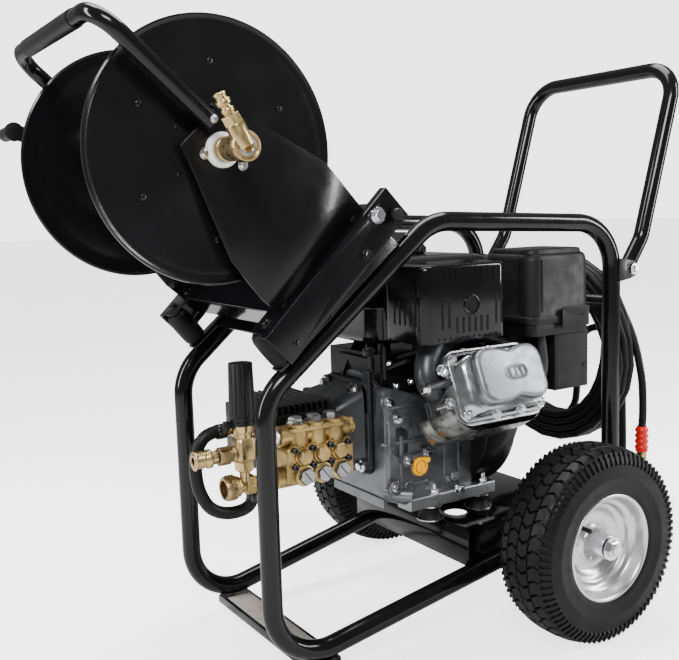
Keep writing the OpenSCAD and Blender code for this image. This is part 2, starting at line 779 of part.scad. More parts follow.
module pump_crankcase() {
    z0 = pump_z - 48;
    z1 = pump_z + 48;
    y1 = pump_y + 52;
    color([0.06, 0.06, 0.065]) difference() {
        union() {
            box([fx(pump_x0), head_y1, z0], [fx(pump_x1), y1, z1]);
            for (i = [0:10])
                box([fx(pump_x0 + 6 + i * 11), head_y1 + 14, z1],
                    [fx(pump_x0 + 11 + i * 11), y1 - 6, z1 + 14]);
            disc_x(fx(pump_x0 - 4), pump_y, pump_z, 40, 5);
        }
        box([fx(pump_x0 + 8), pump_y - 42, pump_z - 36], [fx(pump_x1 - 8), pump_y + 44, pump_z + 36]);
        disc_x(fx(pump_x0 + 2), pump_y, pump_z, 12.06, pump_x1 - pump_x0);
        for (i = [0:2]) disc_y(fx(plunger_x + i * plunger_pitch), head_y1 - 1, pump_z, plunger_r + 0.06, 80);
    }
}

module pump_crankshaft() {
    last_web_x = plunger_x + 2 * plunger_pitch + 10;
    color([0.55, 0.55, 0.57]) {
        disc_x(fx(pump_x0 + 3), pump_y, pump_z, 12, plunger_x - 10 - pump_x0 - 3);
        disc_x(fx(last_web_x), pump_y, pump_z, 12, gear_x1 - last_web_x);
        for (i = [0:2]) {
            x = plunger_x + i * plunger_pitch;
            translate([0, throw * sin(phase(i)), throw * cos(phase(i))])
                disc_x(fx(x - 11), pump_y, pump_z, 9, 22);
            for (k = [-1, 1]) disc_x(fx(x + k * 13.5) - 3.1, pump_y, pump_z, 22, 6.2);
        }
        for (i = [0:1]) disc_x(fx(plunger_x + i * plunger_pitch + 15), pump_y, pump_z, 12, 3);
    }
}

// Ceramic plunger with its connecting rod, whose big end has room for the crankpin's whole circle
module plunger(i) {
    x = fx(plunger_x + i * plunger_pitch);
    shift = throw * sin(phase(i));
    translate([0, shift, 0]) {
        color([0.9, 0.88, 0.82]) disc_y(x, -84, pump_z, plunger_r, 100);
        color([0.5, 0.5, 0.52]) {
            disc_y(x, 15, pump_z, 5, pump_y - 27 - 15);
            difference() {
                disc_x(x - 6, pump_y, pump_z, 29, 12);
                disc_x(x - 7, pump_y, pump_z, 25.5, 14);
            }
        }
    }
}

module plunger_1() { plunger(0); }
module plunger_2() { plunger(1); }
module plunger_3() { plunger(2); }

upper_z = 372;
lower_z = 306;
inlet_y = -80;
bypass_y = -56;
cap_z = 340;
module pump_manifold() {
    color([0.8, 0.64, 0.32]) difference() {
        union() {
            box([fx(62), head_y0 + 14, lower_z - 8], [fx(186), head_y1 - 0.2, upper_z + 12]);
            box([fx(64), head_y0, lower_z + 8], [fx(184), head_y0 + 15, cap_z + 18]);
            disc_x(fx(50), -80, upper_z, 17, 148);
            disc_x(fx(46), inlet_y, lower_z, 17, 146);
            disc_x(fx(-18.3), inlet_y, lower_z, 9, 70);
            disc_x(fx(-21.5), inlet_y, lower_z, 12.5, 3.3);
            disc_y(fx(24), inlet_y, lower_z, 8, bypass_y - inlet_y);
            translate([fx(24), bypass_y, lower_z - 16.8]) cylinder(r = 11, h = 27);
            for (i = [0:2]) {
                x = fx(plunger_x + i * plunger_pitch);
                translate([x, -80, upper_z]) cylinder(r = 16, h = 20);
                disc_y(x, head_y0 - 8, lower_z, 16, 40);
                disc_y(x, head_y0 - 3, cap_z, 13.5, 20);
                disc_y(x, head_y0 - 11, cap_z, 12, 10, 6);
            }
        }
        for (i = [0:2]) disc_y(fx(plunger_x + i * plunger_pitch), -93, pump_z, plunger_r + 0.06, 60);
    }
}

module valve_caps() {
    color([0.8, 0.8, 0.82]) for (i = [0:2]) {
        x = fx(plunger_x + i * plunger_pitch);
        translate([x, -80, upper_z + 20]) cylinder(r = 12.5, h = 8, $fn = 6);
        disc_y(x, head_y0 - 16, lower_z, 13, 8, 6);
    }
}

module manifold_bolts() {
    color([0.08, 0.08, 0.08]) for (i = [0:3], z = [cap_z + 12, lower_z + 14]) difference() {
        disc_y(fx(80.5 + 33 * i), head_y0 - 8, z, 5, 8);
        disc_y(fx(80.5 + 33 * i), head_y0 - 9, z, 2.6, 5, 6);
    }
}

unloader_x = -5;
module unloader_body() {
    color([0.8, 0.64, 0.32]) {
        translate([fx(unloader_x), unloader_y, 332]) cylinder(r = 13, h = 76);
        translate([fx(unloader_x), unloader_y, 336]) cylinder(r = 16, h = 14, $fn = 6);
        translate([fx(unloader_x), unloader_y, 398]) cylinder(r = 15, h = 12);
        translate([fx(unloader_x), unloader_y, 410]) cylinder(r = 6, h = 62);
        disc_x(fx(unloader_x), unloader_y, upper_z, 13, 51 - unloader_x + 3.9);
        disc_x(fx(unloader_x + 14), unloader_y, upper_z, 16, 16, 6);
        disc_x(fx(unloader_x - 24), unloader_y, 360, 12, 24);
        disc_y(fx(unloader_x), unloader_y, 390, 11, 38);
        disc_x(fx(unloader_x - 13.8), bypass_y, 390, 7, 14);
    }
}

module unloader_knob() {
    color([0.05, 0.05, 0.055]) translate([fx(unloader_x), unloader_y, 411]) difference() {
        cylinder(r1 = 21, r2 = 18.5, h = 88);
        translate([0, 0, -1]) cylinder(r = 6.06, h = 64);
        for (i = [0:15])
            rotate([0, 0, i * 22.5]) translate([22.5, 0, 10]) rotate([0, -1.6, 0]) cylinder(r = 2.6, h = 90);
    }
}

outlet_z = 360;
module outlet_coupler() {
    x = unloader_x - 24;
    color([0.8, 0.64, 0.32]) difference() {
        union() {
            disc_x(fx(x - 22), unloader_y, outlet_z, 14, 22, 6);
            disc_x(fx(-90), unloader_y, outlet_z, 10, x - 22 + 90);
        }
        disc_x(fx(-91), unloader_y, outlet_z, 6.1, 33);
    }
}

module coupler_sleeve() {
    color([0.8, 0.64, 0.32]) difference() {
        union() {
            disc_x(fx(-88), unloader_y, outlet_z, 14, 7);
            disc_x(fx(-81), unloader_y, outlet_z, 12.5, 14);
            disc_x(fx(-67), unloader_y, outlet_z, 14, 6);
        }
        disc_x(fx(-89), unloader_y, outlet_z, 10.06, 30);
    }
}

module inlet_nut() {
    color([0.72, 0.52, 0.26]) difference() {
        union() {
            disc_x(fx(-38), inlet_y, lower_z, 18, 20);
            disc_x(fx(-18.4), inlet_y, lower_z, 16, 6);
        }
        disc_x(fx(-39), inlet_y, lower_z, 13.2, 17.4);
        disc_x(fx(-22), inlet_y, lower_z, 12.8, 4);
        disc_x(fx(-19), inlet_y, lower_z, 9.06, 10);
    }
}

// Return hose from the unloader round to the inlet tee, with the tee itself in the same rubber and brass run
module bypass_hose() {
    color([0.04, 0.04, 0.045]) bent_tube([
        [fx(unloader_x - 14), bypass_y, 390], [fx(-70), bypass_y, 390],
        [fx(-70), bypass_y, 258], [fx(24), bypass_y, 258], [fx(24), bypass_y, lower_z - 17]
    ], 26, 9);
}

// ---- delivery hose ----

module hose_coil() {
    color([0.05, 0.05, 0.05]) translate([fx(coil_x), 0, coil_z]) rotate([0, 90, 0]) rotate_extrude($fn = 96)
        translate([coil_d / 2 - coil_w / 2, -coil_t / 2]) square([coil_w, coil_t]);
}

module hose_tails() {
    color([0.05, 0.05, 0.05]) for (route = [tail_a, tail_b])
        hose_sweep([for (p = route) [fx(p.x), p.y, p.z]], hose_r, 10);
}

module hose_sleeves() {
    a = [fx(774), -195, 300];
    b = [fx(776), -148, 160];
    color([0.8, 0.08, 0.06]) for (e = [a, b]) translate(e - [0, 0, 46]) cylinder(r1 = 12, r2 = 9, h = 46);
}

module hose_fittings() {
    a = [fx(774), -195, 254];
    b = [fx(776), -148, 114];
    color([0.8, 0.64, 0.32]) for (e = [a, b]) translate(e) {
        translate([0, 0, -16]) cylinder(r = 10, h = 16, $fn = 6);
        translate([0, 0, -40]) cylinder(r = 7, h = 24);
    }
}

left_frame_loop();
right_frame_loop();
cross_foot();
engine_deck();
axle();
frame_bolts();
reel_platform();
rear_crossbar();
push_handle();
left_tyre();
left_rim();
right_tyre();
right_rim();
reel_base();
left_side_plate();
right_side_plate();
carry_handle();
reel_bushings();
reel_drum();
left_flange();
right_flange();
reel_crank();
crank_grip();
reel_swivel();
rubber_mounts();
engine_crankcase();
engine_cylinder();
valve_cover();
engine_crankshaft();
flywheel();
fan_shroud();
recoil_grip();
muffler_guard();
air_filter_base();
air_filter_cover();
air_filter_latch();
fuel_tank();
fuel_cap();
oil_cap();
throttle_lever();
reducer_housing();
reducer_gear();
pump_crankcase();
pump_crankshaft();
plunger_1();
plunger_2();
plunger_3();
pump_manifold();
valve_caps();
manifold_bolts();
unloader_body();
unloader_knob();
outlet_coupler();
coupler_sleeve();
inlet_nut();
bypass_hose();
hose_coil();
hose_tails();
hose_sleeves();
hose_fittings();
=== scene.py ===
"""The looks of the wheeled pressure washer pump set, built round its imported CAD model."""

import math

import bmesh
import bpy
from mathutils import Matrix, Quaternion, Vector


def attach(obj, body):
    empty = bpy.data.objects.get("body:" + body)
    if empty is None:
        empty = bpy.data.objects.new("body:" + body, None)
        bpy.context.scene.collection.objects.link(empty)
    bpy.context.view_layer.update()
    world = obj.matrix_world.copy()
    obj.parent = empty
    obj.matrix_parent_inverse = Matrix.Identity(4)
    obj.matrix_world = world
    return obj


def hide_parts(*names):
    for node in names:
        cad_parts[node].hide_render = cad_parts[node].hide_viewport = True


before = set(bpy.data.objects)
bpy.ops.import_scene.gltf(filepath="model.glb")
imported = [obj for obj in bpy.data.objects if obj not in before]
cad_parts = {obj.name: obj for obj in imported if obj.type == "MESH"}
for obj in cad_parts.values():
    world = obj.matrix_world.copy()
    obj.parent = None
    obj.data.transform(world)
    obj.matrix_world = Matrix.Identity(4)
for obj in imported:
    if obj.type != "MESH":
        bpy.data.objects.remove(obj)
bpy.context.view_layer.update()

MM = 0.001
FRONT_X = -313.0


def at(d, y, z):
    """A point d mm behind the front posts, y mm across and z mm up, in metres."""
    return Vector(((FRONT_X + d) * MM, y * MM, z * MM))


X, Y, Z = Vector((1, 0, 0)), Vector((0, 1, 0)), Vector((0, 0, 1))


# ---- camera ----

CAMERA_AT = at(-608.5, -1331.8, 724.2)
CAMERA_TURN = (0.5617, 0.1303, -0.0300)
LENS, SENSOR = 48.87, 36.0


def aim_camera():
    """The camera solved from the photo: yaw from +Y, pitch down and roll, in radians."""
    yaw, pitch, roll = CAMERA_TURN
    forward = Vector((math.sin(yaw) * math.cos(pitch), math.cos(yaw) * math.cos(pitch), -math.sin(pitch)))
    right = Vector((math.cos(yaw), -math.sin(yaw), 0))
    up = right.cross(forward)
    turned_right = right * math.cos(roll) + up * math.sin(roll)
    turned_up = up * math.cos(roll) - right * math.sin(roll)
    data = bpy.data.cameras.new("camera")
    data.lens, data.sensor_width = LENS, SENSOR
    data.clip_start, data.clip_end = 0.05, 50
    data.dof.use_dof = False
    camera = bpy.data.objects.new("camera", data)
    turned = Matrix((turned_right, turned_up, -forward)).transposed().to_4x4()
    camera.matrix_world = Matrix.Translation(CAMERA_AT) @ turned
    bpy.context.scene.collection.objects.link(camera)
    bpy.context.scene.camera = camera


aim_camera()


# ---- materials ----

class Shader:
    """A Principled material whose colour, roughness and relief are each varied by procedural textures."""

    def __init__(self, name, colour, metallic=0.0, roughness=0.5, coat=0.0, coat_roughness=0.05):
        self.material = bpy.data.materials.new(name)
        self.material.use_nodes = True
        self.nodes = self.material.node_tree.nodes
        self.links = self.material.node_tree.links
        self.shader = self.nodes["Principled BSDF"]
        self.colour = (*colour, 1)
        self.shader.inputs["Base Color"].default_value = self.colour
        self.shader.inputs["Metallic"].default_value = metallic
        self.shader.inputs["Roughness"].default_value = roughness
        self.shader.inputs["Coat Weight"].default_value = coat
        self.shader.inputs["Coat Roughness"].default_value = coat_roughness
        self.material.diffuse_color = self.colour
        self.coords = self.nodes.new("ShaderNodeTexCoord").outputs["Object"]
        self.normal = None

    def noise(self, scale, detail=4.0, stretch=(1, 1, 1), distortion=0.0):
        mapping = self.nodes.new("ShaderNodeMapping")
        mapping.inputs["Scale"].default_value = stretch
        self.links.new(self.coords, mapping.inputs["Vector"])
        noise = self.nodes.new("ShaderNodeTexNoise")
        noise.inputs["Scale"].default_value = scale
        noise.inputs["Detail"].default_value = detail
        noise.inputs["Distortion"].default_value = distortion
        self.links.new(mapping.outputs["Vector"], noise.inputs["Vector"])
        return noise.outputs["Fac"]

    def ramp(self, value, low, high, out_low, out_high):
        node = self.nodes.new("ShaderNodeMapRange")
        for key, number in zip(("From Min", "From Max", "To Min", "To Max"), (low, high, out_low, out_high)):
            node.inputs[key].default_value = number
        self.links.new(value, node.inputs["Value"])
        return node.outputs["Result"]

    def tint(self, value, other, low=0.35, high=0.65, strength=1.0):
        """Fades the colour towards other where value is high."""
        mix = self.nodes.new("ShaderNodeMix")
        mix.data_type = "RGBA"
        factor = self.ramp(value, low, high, 0.0, strength)
        self.links.new(factor, mix.inputs["Factor"])
        base = self.shader.inputs["Base Color"]
        if base.is_linked:
            self.links.new(base.links[0].from_socket, mix.inputs["A"])
        else:
            mix.inputs["A"].default_value = self.colour
        mix.inputs["B"].default_value = (*other, 1)
        self.links.new(mix.outputs["Result"], base)
        return self

    def rough(self, value, low, high):
        self.links.new(self.ramp(value, 0.3, 0.7, low, high), self.shader.inputs["Roughness"])
        return self

    def bump(self, value, strength, distance):
        node = self.nodes.new("ShaderNodeBump")
        node.inputs["Strength"].default_value = strength
        node.inputs["Distance"].default_value = distance
        self.links.new(value, node.inputs["Height"])
        if self.normal is not None:
            self.links.new(self.normal, node.inputs["Normal"])
        self.normal = node.outputs["Normal"]
        self.links.new(self.normal, self.shader.inputs["Normal"])
        return self


def powder_coat(name, colour, roughness, peel):
    s = Shader(name, colour, roughness=roughness, coat=0.1, coat_roughness=0.05)
    s.shader.inputs["Specular IOR Level"].default_value = 0.2
    s.tint(s.noise(9, 5), tuple(c * 1.6 + 0.0015 for c in colour), 0.5, 0.75, 0.5)
    s.rough(s.noise(30, 5), roughness * 0.8, roughness * 1.35)
    return s.bump(s.noise(260, 2), peel, 0.0006).bump(s.noise(3000, 2), 0.04, 0.0001).material


def cast_metal(name, colour, metallic, roughness, grain=900, relief=0.3, dark=0.6):
    s = Shader(name, colour, metallic, roughness)
    s.tint(s.noise(22, 6), tuple(c * dark for c in colour), 0.42, 0.7, 0.8)
    s.tint(s.noise(130, 4), tuple(min(1.0, c * 1.25) for c in colour), 0.5, 0.75, 0.4)
    s.rough(s.noise(60, 5), roughness * 0.75, min(1.0, roughness * 1.3))
    return s.bump(s.noise(grain, 4), relief, 0.0004).material


def machined_metal(name, colour, roughness, stretch=(1, 1, 1), dark=0.7):
    s = Shader(name, colour, 1.0, roughness)
    s.tint(s.noise(35, 6), tuple(c * dark for c in colour), 0.45, 0.72, 0.7)
    s.rough(s.noise(80, 5, stretch), roughness * 0.6, roughness * 1.5)
    return s.bump(s.noise(700, 3, stretch), 0.08, 0.0002).material


def spun_metal(name, colour, roughness):
    s = Shader(name, colour, 1.0, roughness)
    s.tint(s.noise(8, 3), tuple(c * 0.85 for c in colour), 0.4, 0.7, 0.6)
    s.rough(s.noise(20, 3), roughness * 0.85, roughness * 1.2)
    return s.bump(s.noise(500, 2), 0.03, 0.0001).material


def plastic(name, colour, roughness, relief=0.12, grain=1800):
    s = Shader(name, colour, roughness=roughness)
    s.shader.inputs["Specular IOR Level"].default_value = 0.22
    s.tint(s.noise(12, 5), tuple(c * 1.35 + 0.001 for c in colour), 0.45, 0.75, 0.6)
    s.rough(s.noise(45, 5), roughness * 0.85, min(1.0, roughness * 1.2))
    return s.bump(s.noise(grain, 3), relief, 0.0002).material


def rubber(name, colour, roughness, dust=(0.1, 0.095, 0.09), dustiness=0.35):
    s = Shader(name, colour, roughness=roughness)
    s.shader.inputs["Specular IOR Level"].default_value = 0.16
    s.tint(s.noise(14, 7), dust, 0.5, 0.8, dustiness)
    s.tint(s.noise(150, 4), tuple(c * 0.5 for c in colour), 0.45, 0.7, 0.5)
    s.rough(s.noise(40, 5), roughness * 0.85, min(1.0, roughness * 1.2))
    return s.bump(s.noise(1100, 4), 0.2, 0.0003).material


M = {
    "frame_black": powder_coat("frame_black", (0.0035, 0.0035, 0.004), 0.14, 0.05),
    "sheet_black": powder_coat("sheet_black", (0.004, 0.004, 0.0045), 0.2, 0.16),
    "deck_black": powder_coat("deck_black", (0.0015, 0.0015, 0.0017), 0.12, 0.04),
    "dark_steel": powder_coat("dark_steel", (0.008, 0.008, 0.009), 0.32, 0.1),
    "zinc": machined_metal("zinc", (0.66, 0.66, 0.68), 0.28),
    "chrome_bolt": machined_metal("chrome_bolt", (0.72, 0.72, 0.74), 0.16),
    "steel": machined_metal("steel", (0.5, 0.5, 0.52), 0.3),
    "plated_cap": machined_metal("plated_cap", (0.3, 0.3, 0.315), 0.3),
    "tyre": rubber("tyre", (0.0035, 0.0035, 0.004), 0.46, (0.016, 0.016, 0.016), 0.35),
    "rim_silver": spun_metal("rim_silver", (0.58, 0.58, 0.59), 0.3),
    "white_nylon": plastic("white_nylon", (0.72, 0.72, 0.68), 0.45),
    "grip": plastic("grip", (0.006, 0.006, 0.0065), 0.38),
    "brass": machined_metal("brass", (0.5, 0.365, 0.17), 0.3, dark=0.5),
    "brass_turned": machined_metal("brass_turned", (0.46, 0.33, 0.16), 0.32, (4, 1, 1), 0.6),
    "forged_brass": cast_metal("forged_brass", (0.47, 0.335, 0.135), 1.0, 0.4, 700, 0.3, 0.45),
    "mount_rubber": rubber("mount_rubber", (0.005, 0.005, 0.0055), 0.5, (0.02, 0.02, 0.02), 0.2),
    "cast_grey": cast_metal("cast_grey", (0.165, 0.17, 0.18), 0.8, 0.35, 1000, 0.34, 0.5),
    "cast_silver": cast_metal("cast_silver", (0.42, 0.43, 0.44), 0.95, 0.34, 1100, 0.2, 0.62),
    "cover_satin": cast_metal("cover_satin", (0.25, 0.258, 0.28), 0.9, 0.36, 1500, 0.3, 0.85),
    "cover_bright": machined_metal("cover_bright", (0.42, 0.43, 0.44), 0.18, dark=0.75),
    "flywheel_iron": cast_metal("flywheel_iron", (0.12, 0.12, 0.13), 0.8, 0.55),
    "engine_black": powder_coat("engine_black", (0.0025, 0.0025, 0.0028), 0.12, 0.06),
    "engine_satin": powder_coat("engine_satin", (0.004, 0.004, 0.0045), 0.34, 0.08),
    "filter_plastic": plastic("filter_plastic", (0.0045, 0.0046, 0.005), 0.48),
    "oil_yellow": plastic("oil_yellow", (0.9, 0.42, 0.0), 0.35, 0.08),
    "gear_grey": cast_metal("gear_grey", (0.028, 0.029, 0.031), 0.5, 0.36, 1000, 0.25, 0.6),
    "pump_black": cast_metal("pump_black", (0.01, 0.01, 0.0105), 0.3, 0.4, 1000, 0.25, 0.6),
    "ceramic": plastic("ceramic", (0.85, 0.82, 0.76), 0.16, 0.02),
    "black_oxide": machined_metal("black_oxide", (0.05, 0.05, 0.052), 0.34),
    "knob": plastic("knob", (0.005, 0.005, 0.0055), 0.36),
    "hose": rubber("hose", (0.006, 0.006, 0.0065), 0.42, (0.03, 0.03, 0.03), 0.2),
    "sleeve_red": plastic("sleeve_red", (0.55, 0.01, 0.007), 0.3, 0.05),
    "baffle": machined_metal("baffle", (0.27, 0.27, 0.262), 0.3, dark=0.45),
    "cast_dark": cast_metal("cast_dark", (0.022, 0.022, 0.024), 0.6, 0.42, 1000, 0.3, 0.6),
    "white_zinc": machined_metal("white_zinc", (0.8, 0.8, 0.8), 0.35, dark=0.85),
    "foot_pad": rubber("foot_pad", (0.3, 0.27, 0.24), 0.5, (0.42, 0.39, 0.35), 0.6),
    "cast_foot": cast_metal("cast_foot", (0.3, 0.305, 0.31), 0.85, 0.34, 1000, 0.3, 0.6),
    "breather": rubber("breather", (0.03, 0.03, 0.032), 0.5, (0.05, 0.05, 0.05), 0.3),
    # Painted shade: a dark brown for the shade in the oil cap's groove.
    "oil_groove_shade": plastic("oil_groove_shade", (0.3, 0.1, 0.0), 0.4),
    "exhaust": cast_metal("exhaust", (0.05, 0.052, 0.056), 0.7, 0.42, 900, 0.4, 0.6),
    # Painted shade: a near-black matte colour for the shade inside the guard's slots and holes.
    "slot_painted_shade": plastic("slot_painted_shade", (0.0008, 0.0008, 0.0008), 0.8),
}


# ---- mesh helpers ----

def place(name, build, material, body, replaces=(), bevel=0.0, crease=35):
    """Makes one piece of what a Build holds, riding on a CAD body; bevel in mm, crease in degrees."""
    mesh = build.mesh(name)
    piece = bpy.data.objects.new(name, mesh)
    bpy.context.scene.collection.objects.link(piece)
    mesh.materials.append(M[material])
    if bevel:
        modifier = piece.modifiers.new("bevel", "BEVEL")
        modifier.width, modifier.segments, modifier.limit_method = bevel * MM, 2, "ANGLE"
        modifier.angle_limit = math.radians(crease)
        modifier.use_clamp_overlap = True
    mesh.shade_smooth()
    mesh.set_sharp_from_angle(angle=math.radians(crease + 5))
    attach(piece, body)
    if replaces:
        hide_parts(*replaces)
    return piece


class Build:
    """Collects simple solids in one mesh."""

    def __init__(self):
        self.verts, self.faces = [], []

    def add(self, verts, faces):
        start = len(self.verts)
        self.verts += [Vector(v) for v in verts]
        self.faces += [[start + i for i in f] for f in faces]
        return self

    def lathe(self, origin, axis, profile, sides=32, turn=0.0):
        """Revolves (radius, height) pairs round an axis through origin."""
        axis = Vector(axis).normalized()
        u = axis.orthogonal().normalized()
        w = axis.cross(u)
        rings = []
        for radius, height in profile:
            ring = []
            for k in range(sides):
                a = 2 * math.pi * k / sides + turn
                ring.append(Vector(origin) + axis * height * MM
                            + (u * math.cos(a) + w * math.sin(a)) * radius * MM)
            rings.append(ring)
        verts = [v for ring in rings for v in ring]
        faces = []
        for i in range(len(rings) - 1):
            for k in range(sides):
                j = (k + 1) % sides
                faces.append([i * sides + k, i * sides + j, (i + 1) * sides + j, (i + 1) * sides + k])
        if profile[0][0] > 0 and profile[0] != profile[-1]:
            faces.append(list(range(sides - 1, -1, -1)))
            faces.append([(len(rings) - 1) * sides + k for k in range(sides)])
        return self.add(verts, faces)

    def box(self, lo, hi):
        a, b = Vector(lo), Vector(hi)
        verts = [Vector((x, y, z)) for x in (a.x, b.x) for y in (a.y, b.y) for z in (a.z, b.z)]
        return self.add(verts, [[0, 1, 3, 2], [4, 6, 7, 5], [0, 4, 5, 1], [2, 3, 7, 6], [0, 2, 6, 4],
                                [1, 5, 7, 3]])

    def prism(self, outline, origin, u, w, depth):
        """Extrudes an outline of (u, w) pairs in mm along u x w by depth mm."""
        u, w = Vector(u), Vector(w)
        n = u.cross(w) * depth * MM
        base = [Vector(origin) + u * p[0] * MM + w * p[1] * MM for p in outline]
        count = len(base)
        faces = [[i, (i + 1) % count, count + (i + 1) % count, count + i] for i in range(count)]
        faces.append(list(range(count - 1, -1, -1)))
        faces.append([count + i for i in range(count)])
        return self.add(base + [p + n for p in base], faces)

    def tube(self, points, radius, sides=20, closed=False, caps=True, ring=None):
        """Sweeps a circle along points; ring(i) may scale it at each point."""
        pts = [Vector(p) for p in points]
        count = len(pts)
        tangents = []
        for i in range(count):
            before = pts[(i - 1) % count] if closed or i > 0 else pts[i]
            after = pts[(i + 1) % count] if closed or i < count - 1 else pts[i]
            tangents.append((after - before).normalized())
        normal = tangents[0].orthogonal().normalized()
        verts = []
        for i in range(count):
            if i:
                normal = (tangents[i - 1].rotation_difference(tangents[i]) @ normal).normalized()
            across = tangents[i].cross(normal)
            r = radius * MM * (ring(i) if ring else 1.0)
            for k in range(sides):
                a = 2 * math.pi * k / sides
                verts.append(pts[i] + (normal * math.cos(a) + across * math.sin(a)) * r)
        faces = []
        for i in range(count if closed else count - 1):
            n = (i + 1) % count
            for k in range(sides):
                j = (k + 1) % sides
                faces.append([i * sides + k, i * sides + j, n * sides + j, n * sides + k])
        if caps and not closed:
            faces.append(list(range(sides - 1, -1, -1)))
            faces.append([(count - 1) * sides + k for k in range(sides)])
        return self.add(verts, faces)

    def hex_bolt(self, centre, axis, across, height, washer=0.0, turn=0.0):
        """A chamfered hexagon head on a washer, standing on centre along axis."""
        r = across / math.sqrt(3)
        base = 0.0
        if washer:
            self.lathe(centre, axis, [(0, 0), (washer, 0), (washer, 1.2), (washer - 0.3, 1.5), (0, 1.5)], 32)
            base = 1.5
        self.lathe(centre, axis, [(0, base), (r, base), (r, base + height * 0.86)], 6, turn)
        return self.lathe(centre, axis, [(r, base + height * 0.86), (r * 0.84, base + height),
                                         (0, base + height)], 6, turn)

    def socket_bolt(self, centre, axis, radius, height):
        """A round head with a socket in it."""
        return self.lathe(centre, axis, [(0, 0), (radius, 0), (radius, height - 0.6), (radius - 0.6, height),
                                  (radius * 0.52, height), (radius * 0.52, height - 3), (0, height - 3)], 24)

    def mesh(self, name):
        """A mesh of everything collected, with doubled points joined and normals outwards."""
        mesh = bpy.data.meshes.new(name)
        mesh.from_pydata([tuple(v) for v in self.verts], [], self.faces)
        mesh.validate()
        work = bmesh.new()
        work.from_mesh(mesh)
        bmesh.ops.remove_doubles(work, verts=work.verts, dist=1e-6)
        bmesh.ops.recalc_face_normals(work, faces=work.faces)
        work.to_mesh(mesh)
        work.free()
        return mesh


def rounded_path(corners, radius, closed=False, steps=10):
    """A path through corners in metres, with arcs of radius mm at them."""
    pts = [Vector(c) for c in corners]
    count = len(pts)
    path = []
    for i, p in enumerate(pts):
        if not closed and i in (0, count - 1):
            path.append(p)
            continue
        a = (pts[i - 1] - p).normalized()
        b = (pts[(i + 1) % count] - p).normalized()
        half = a.angle(b) / 2
        reach = radius * MM / math.tan(half)
        centre = p + (a + b).normalized() * radius * MM / math.sin(half)
        start, end = p + a * reach - centre, p + b * reach - centre
        turn = start.angle(end)
        axis = start.cross(end).normalized()
        for k in range(steps + 1):
            path.append(centre + Quaternion(axis, turn * k / steps) @ start)
    return path


def smooth_path(points, per_span=6):
    """A Catmull-Rom curve through points."""
    pts = [Vector(p) for p in points]
    out = []
    for i in range(len(pts) - 1):
        p0, p1, p2, p3 = pts[max(i - 1, 0)], pts[i], pts[i + 1], pts[min(i + 2, len(pts) - 1)]
        for k in range(per_span):
            t = k / per_span
            out.append(0.5 * ((2 * p1) + (p2 - p0) * t + (2 * p0 - 5 * p1 + 4 * p2 - p3) * t * t
                              + (3 * p1 - p0 - 3 * p2 + p3) * t ** 3))
    return out + [pts[-1]]


def rounded_rect(w, h, r, steps=6):
    """The outline of a w by h mm rectangle with corners of radius r, centred."""
    out = []
    for cx, cy, a0 in ((1, 1, 0), (-1, 1, 90), (-1, -1, 180), (1, -1, 270)):
        for k in range(steps + 1):
            a = math.radians(a0 + 90 * k / steps)
            out.append((cx * (w / 2 - r) + r * math.cos(a), cy * (h / 2 - r) + r * math.sin(a)))
    return out


def xy_ring(d, y, z, w, h, r, steps=6):
    """A rounded w by h rectangle lying flat, centred on d, y at height z; the next two stand upright."""
    return [at(d + u, y + v, z) for u, v in rounded_rect(w, h, r, steps)]


def xz_ring(y, d, z, w, h, r, steps=6):
    return [at(d + u, y, z + v) for u, v in rounded_rect(w, h, r, steps)]


def yz_ring(d, y, z, w, h, r, steps=6):
    return [at(d, y + u, z + v) for u, v in rounded_rect(w, h, r, steps)]


def loft(build, rings):
    """Joins outlines with the same number of points, each a list of vectors."""
    count = len(rings[0])
    faces = [[i * count + k, i * count + (k + 1) % count, (i + 1) * count + (k + 1) % count,
              (i + 1) * count + k] for i in range(len(rings) - 1) for k in range(count)]
    faces.append(list(range(count - 1, -1, -1)))
    faces.append([(len(rings) - 1) * count + k for k in range(count)])
    return build.add([v for ring in rings for v in ring], faces)


def pad(build, d, y, z, w, h, r, rise, steps=4):
    """A rounded pad that stands out towards -Y; rise lists its (height, scale) rings."""
    return loft(build, [xz_ring(y - n, d, z, w * k, h * k, r * k, steps) for n, k in rise])


def rod(radius, height):
    """The lathe profile of a plain solid cylinder."""
    return [(0, 0), (radius, 0), (radius, height), (0, height)]


def incline(angle):
    """Unit vectors along a slope that rises towards +X, and square to it."""
    along = Vector((math.cos(angle), 0, math.sin(angle)))
    return along, Vector((-math.sin(angle), 0, math.cos(angle)))


# ---- hose ----

HOSE_D = 14.5
COIL = {"d": 745, "z": 437, "mean": 160, "columns": 3, "layers": 4}
TAIL_A = [
    (774, -195, 300), (775, -196, 318), (776, -195, 350), (777, -192, 385), (777, -186, 415),
    (777, -177, 448), (776, -166, 478), (774, -153, 505), (770, -140, 527), (764, -128, 540),
]
COIL_START = 141
UNWOUND = [
    (764, 30, 287), (768, 10, 288), (773, -10, 298), (775.5, -24, 318), (776, -29, 342), (776, -29, 370),
    (776, -29, 398), (776, -30, 424), (776, -38, 451), (776, -58, 472), (776, -87, 480), (776, -116, 472),
    (776, -136, 451), (776, -144, 424), (776, -145, 390), (776, -146, 350), (776, -147, 310),
    (776, -148, 270), (776, -148, 230), (776, -148, 190), (776, -148, 160),
]
SLOTS = [(2, 2), (2, 3), (1, 3), (0, 3), (0, 2), (1, 2), (1, 1), (0, 1), (0, 0), (1, 0), (2, 0), (2, 1)]


def coil_point(slot, angle):
    """A point of the coil: slot is (column, layer), fractions allowed, and angle is in degrees."""
    d = COIL["d"] + (slot[0] - (COIL["columns"] - 1) / 2) * HOSE_D
    r = COIL["mean"] + (slot[1] - (COIL["layers"] - 1) / 2) * HOSE_D
    return at(d, r * math.cos(math.radians(angle)), COIL["z"] + r * math.sin(math.radians(angle)))


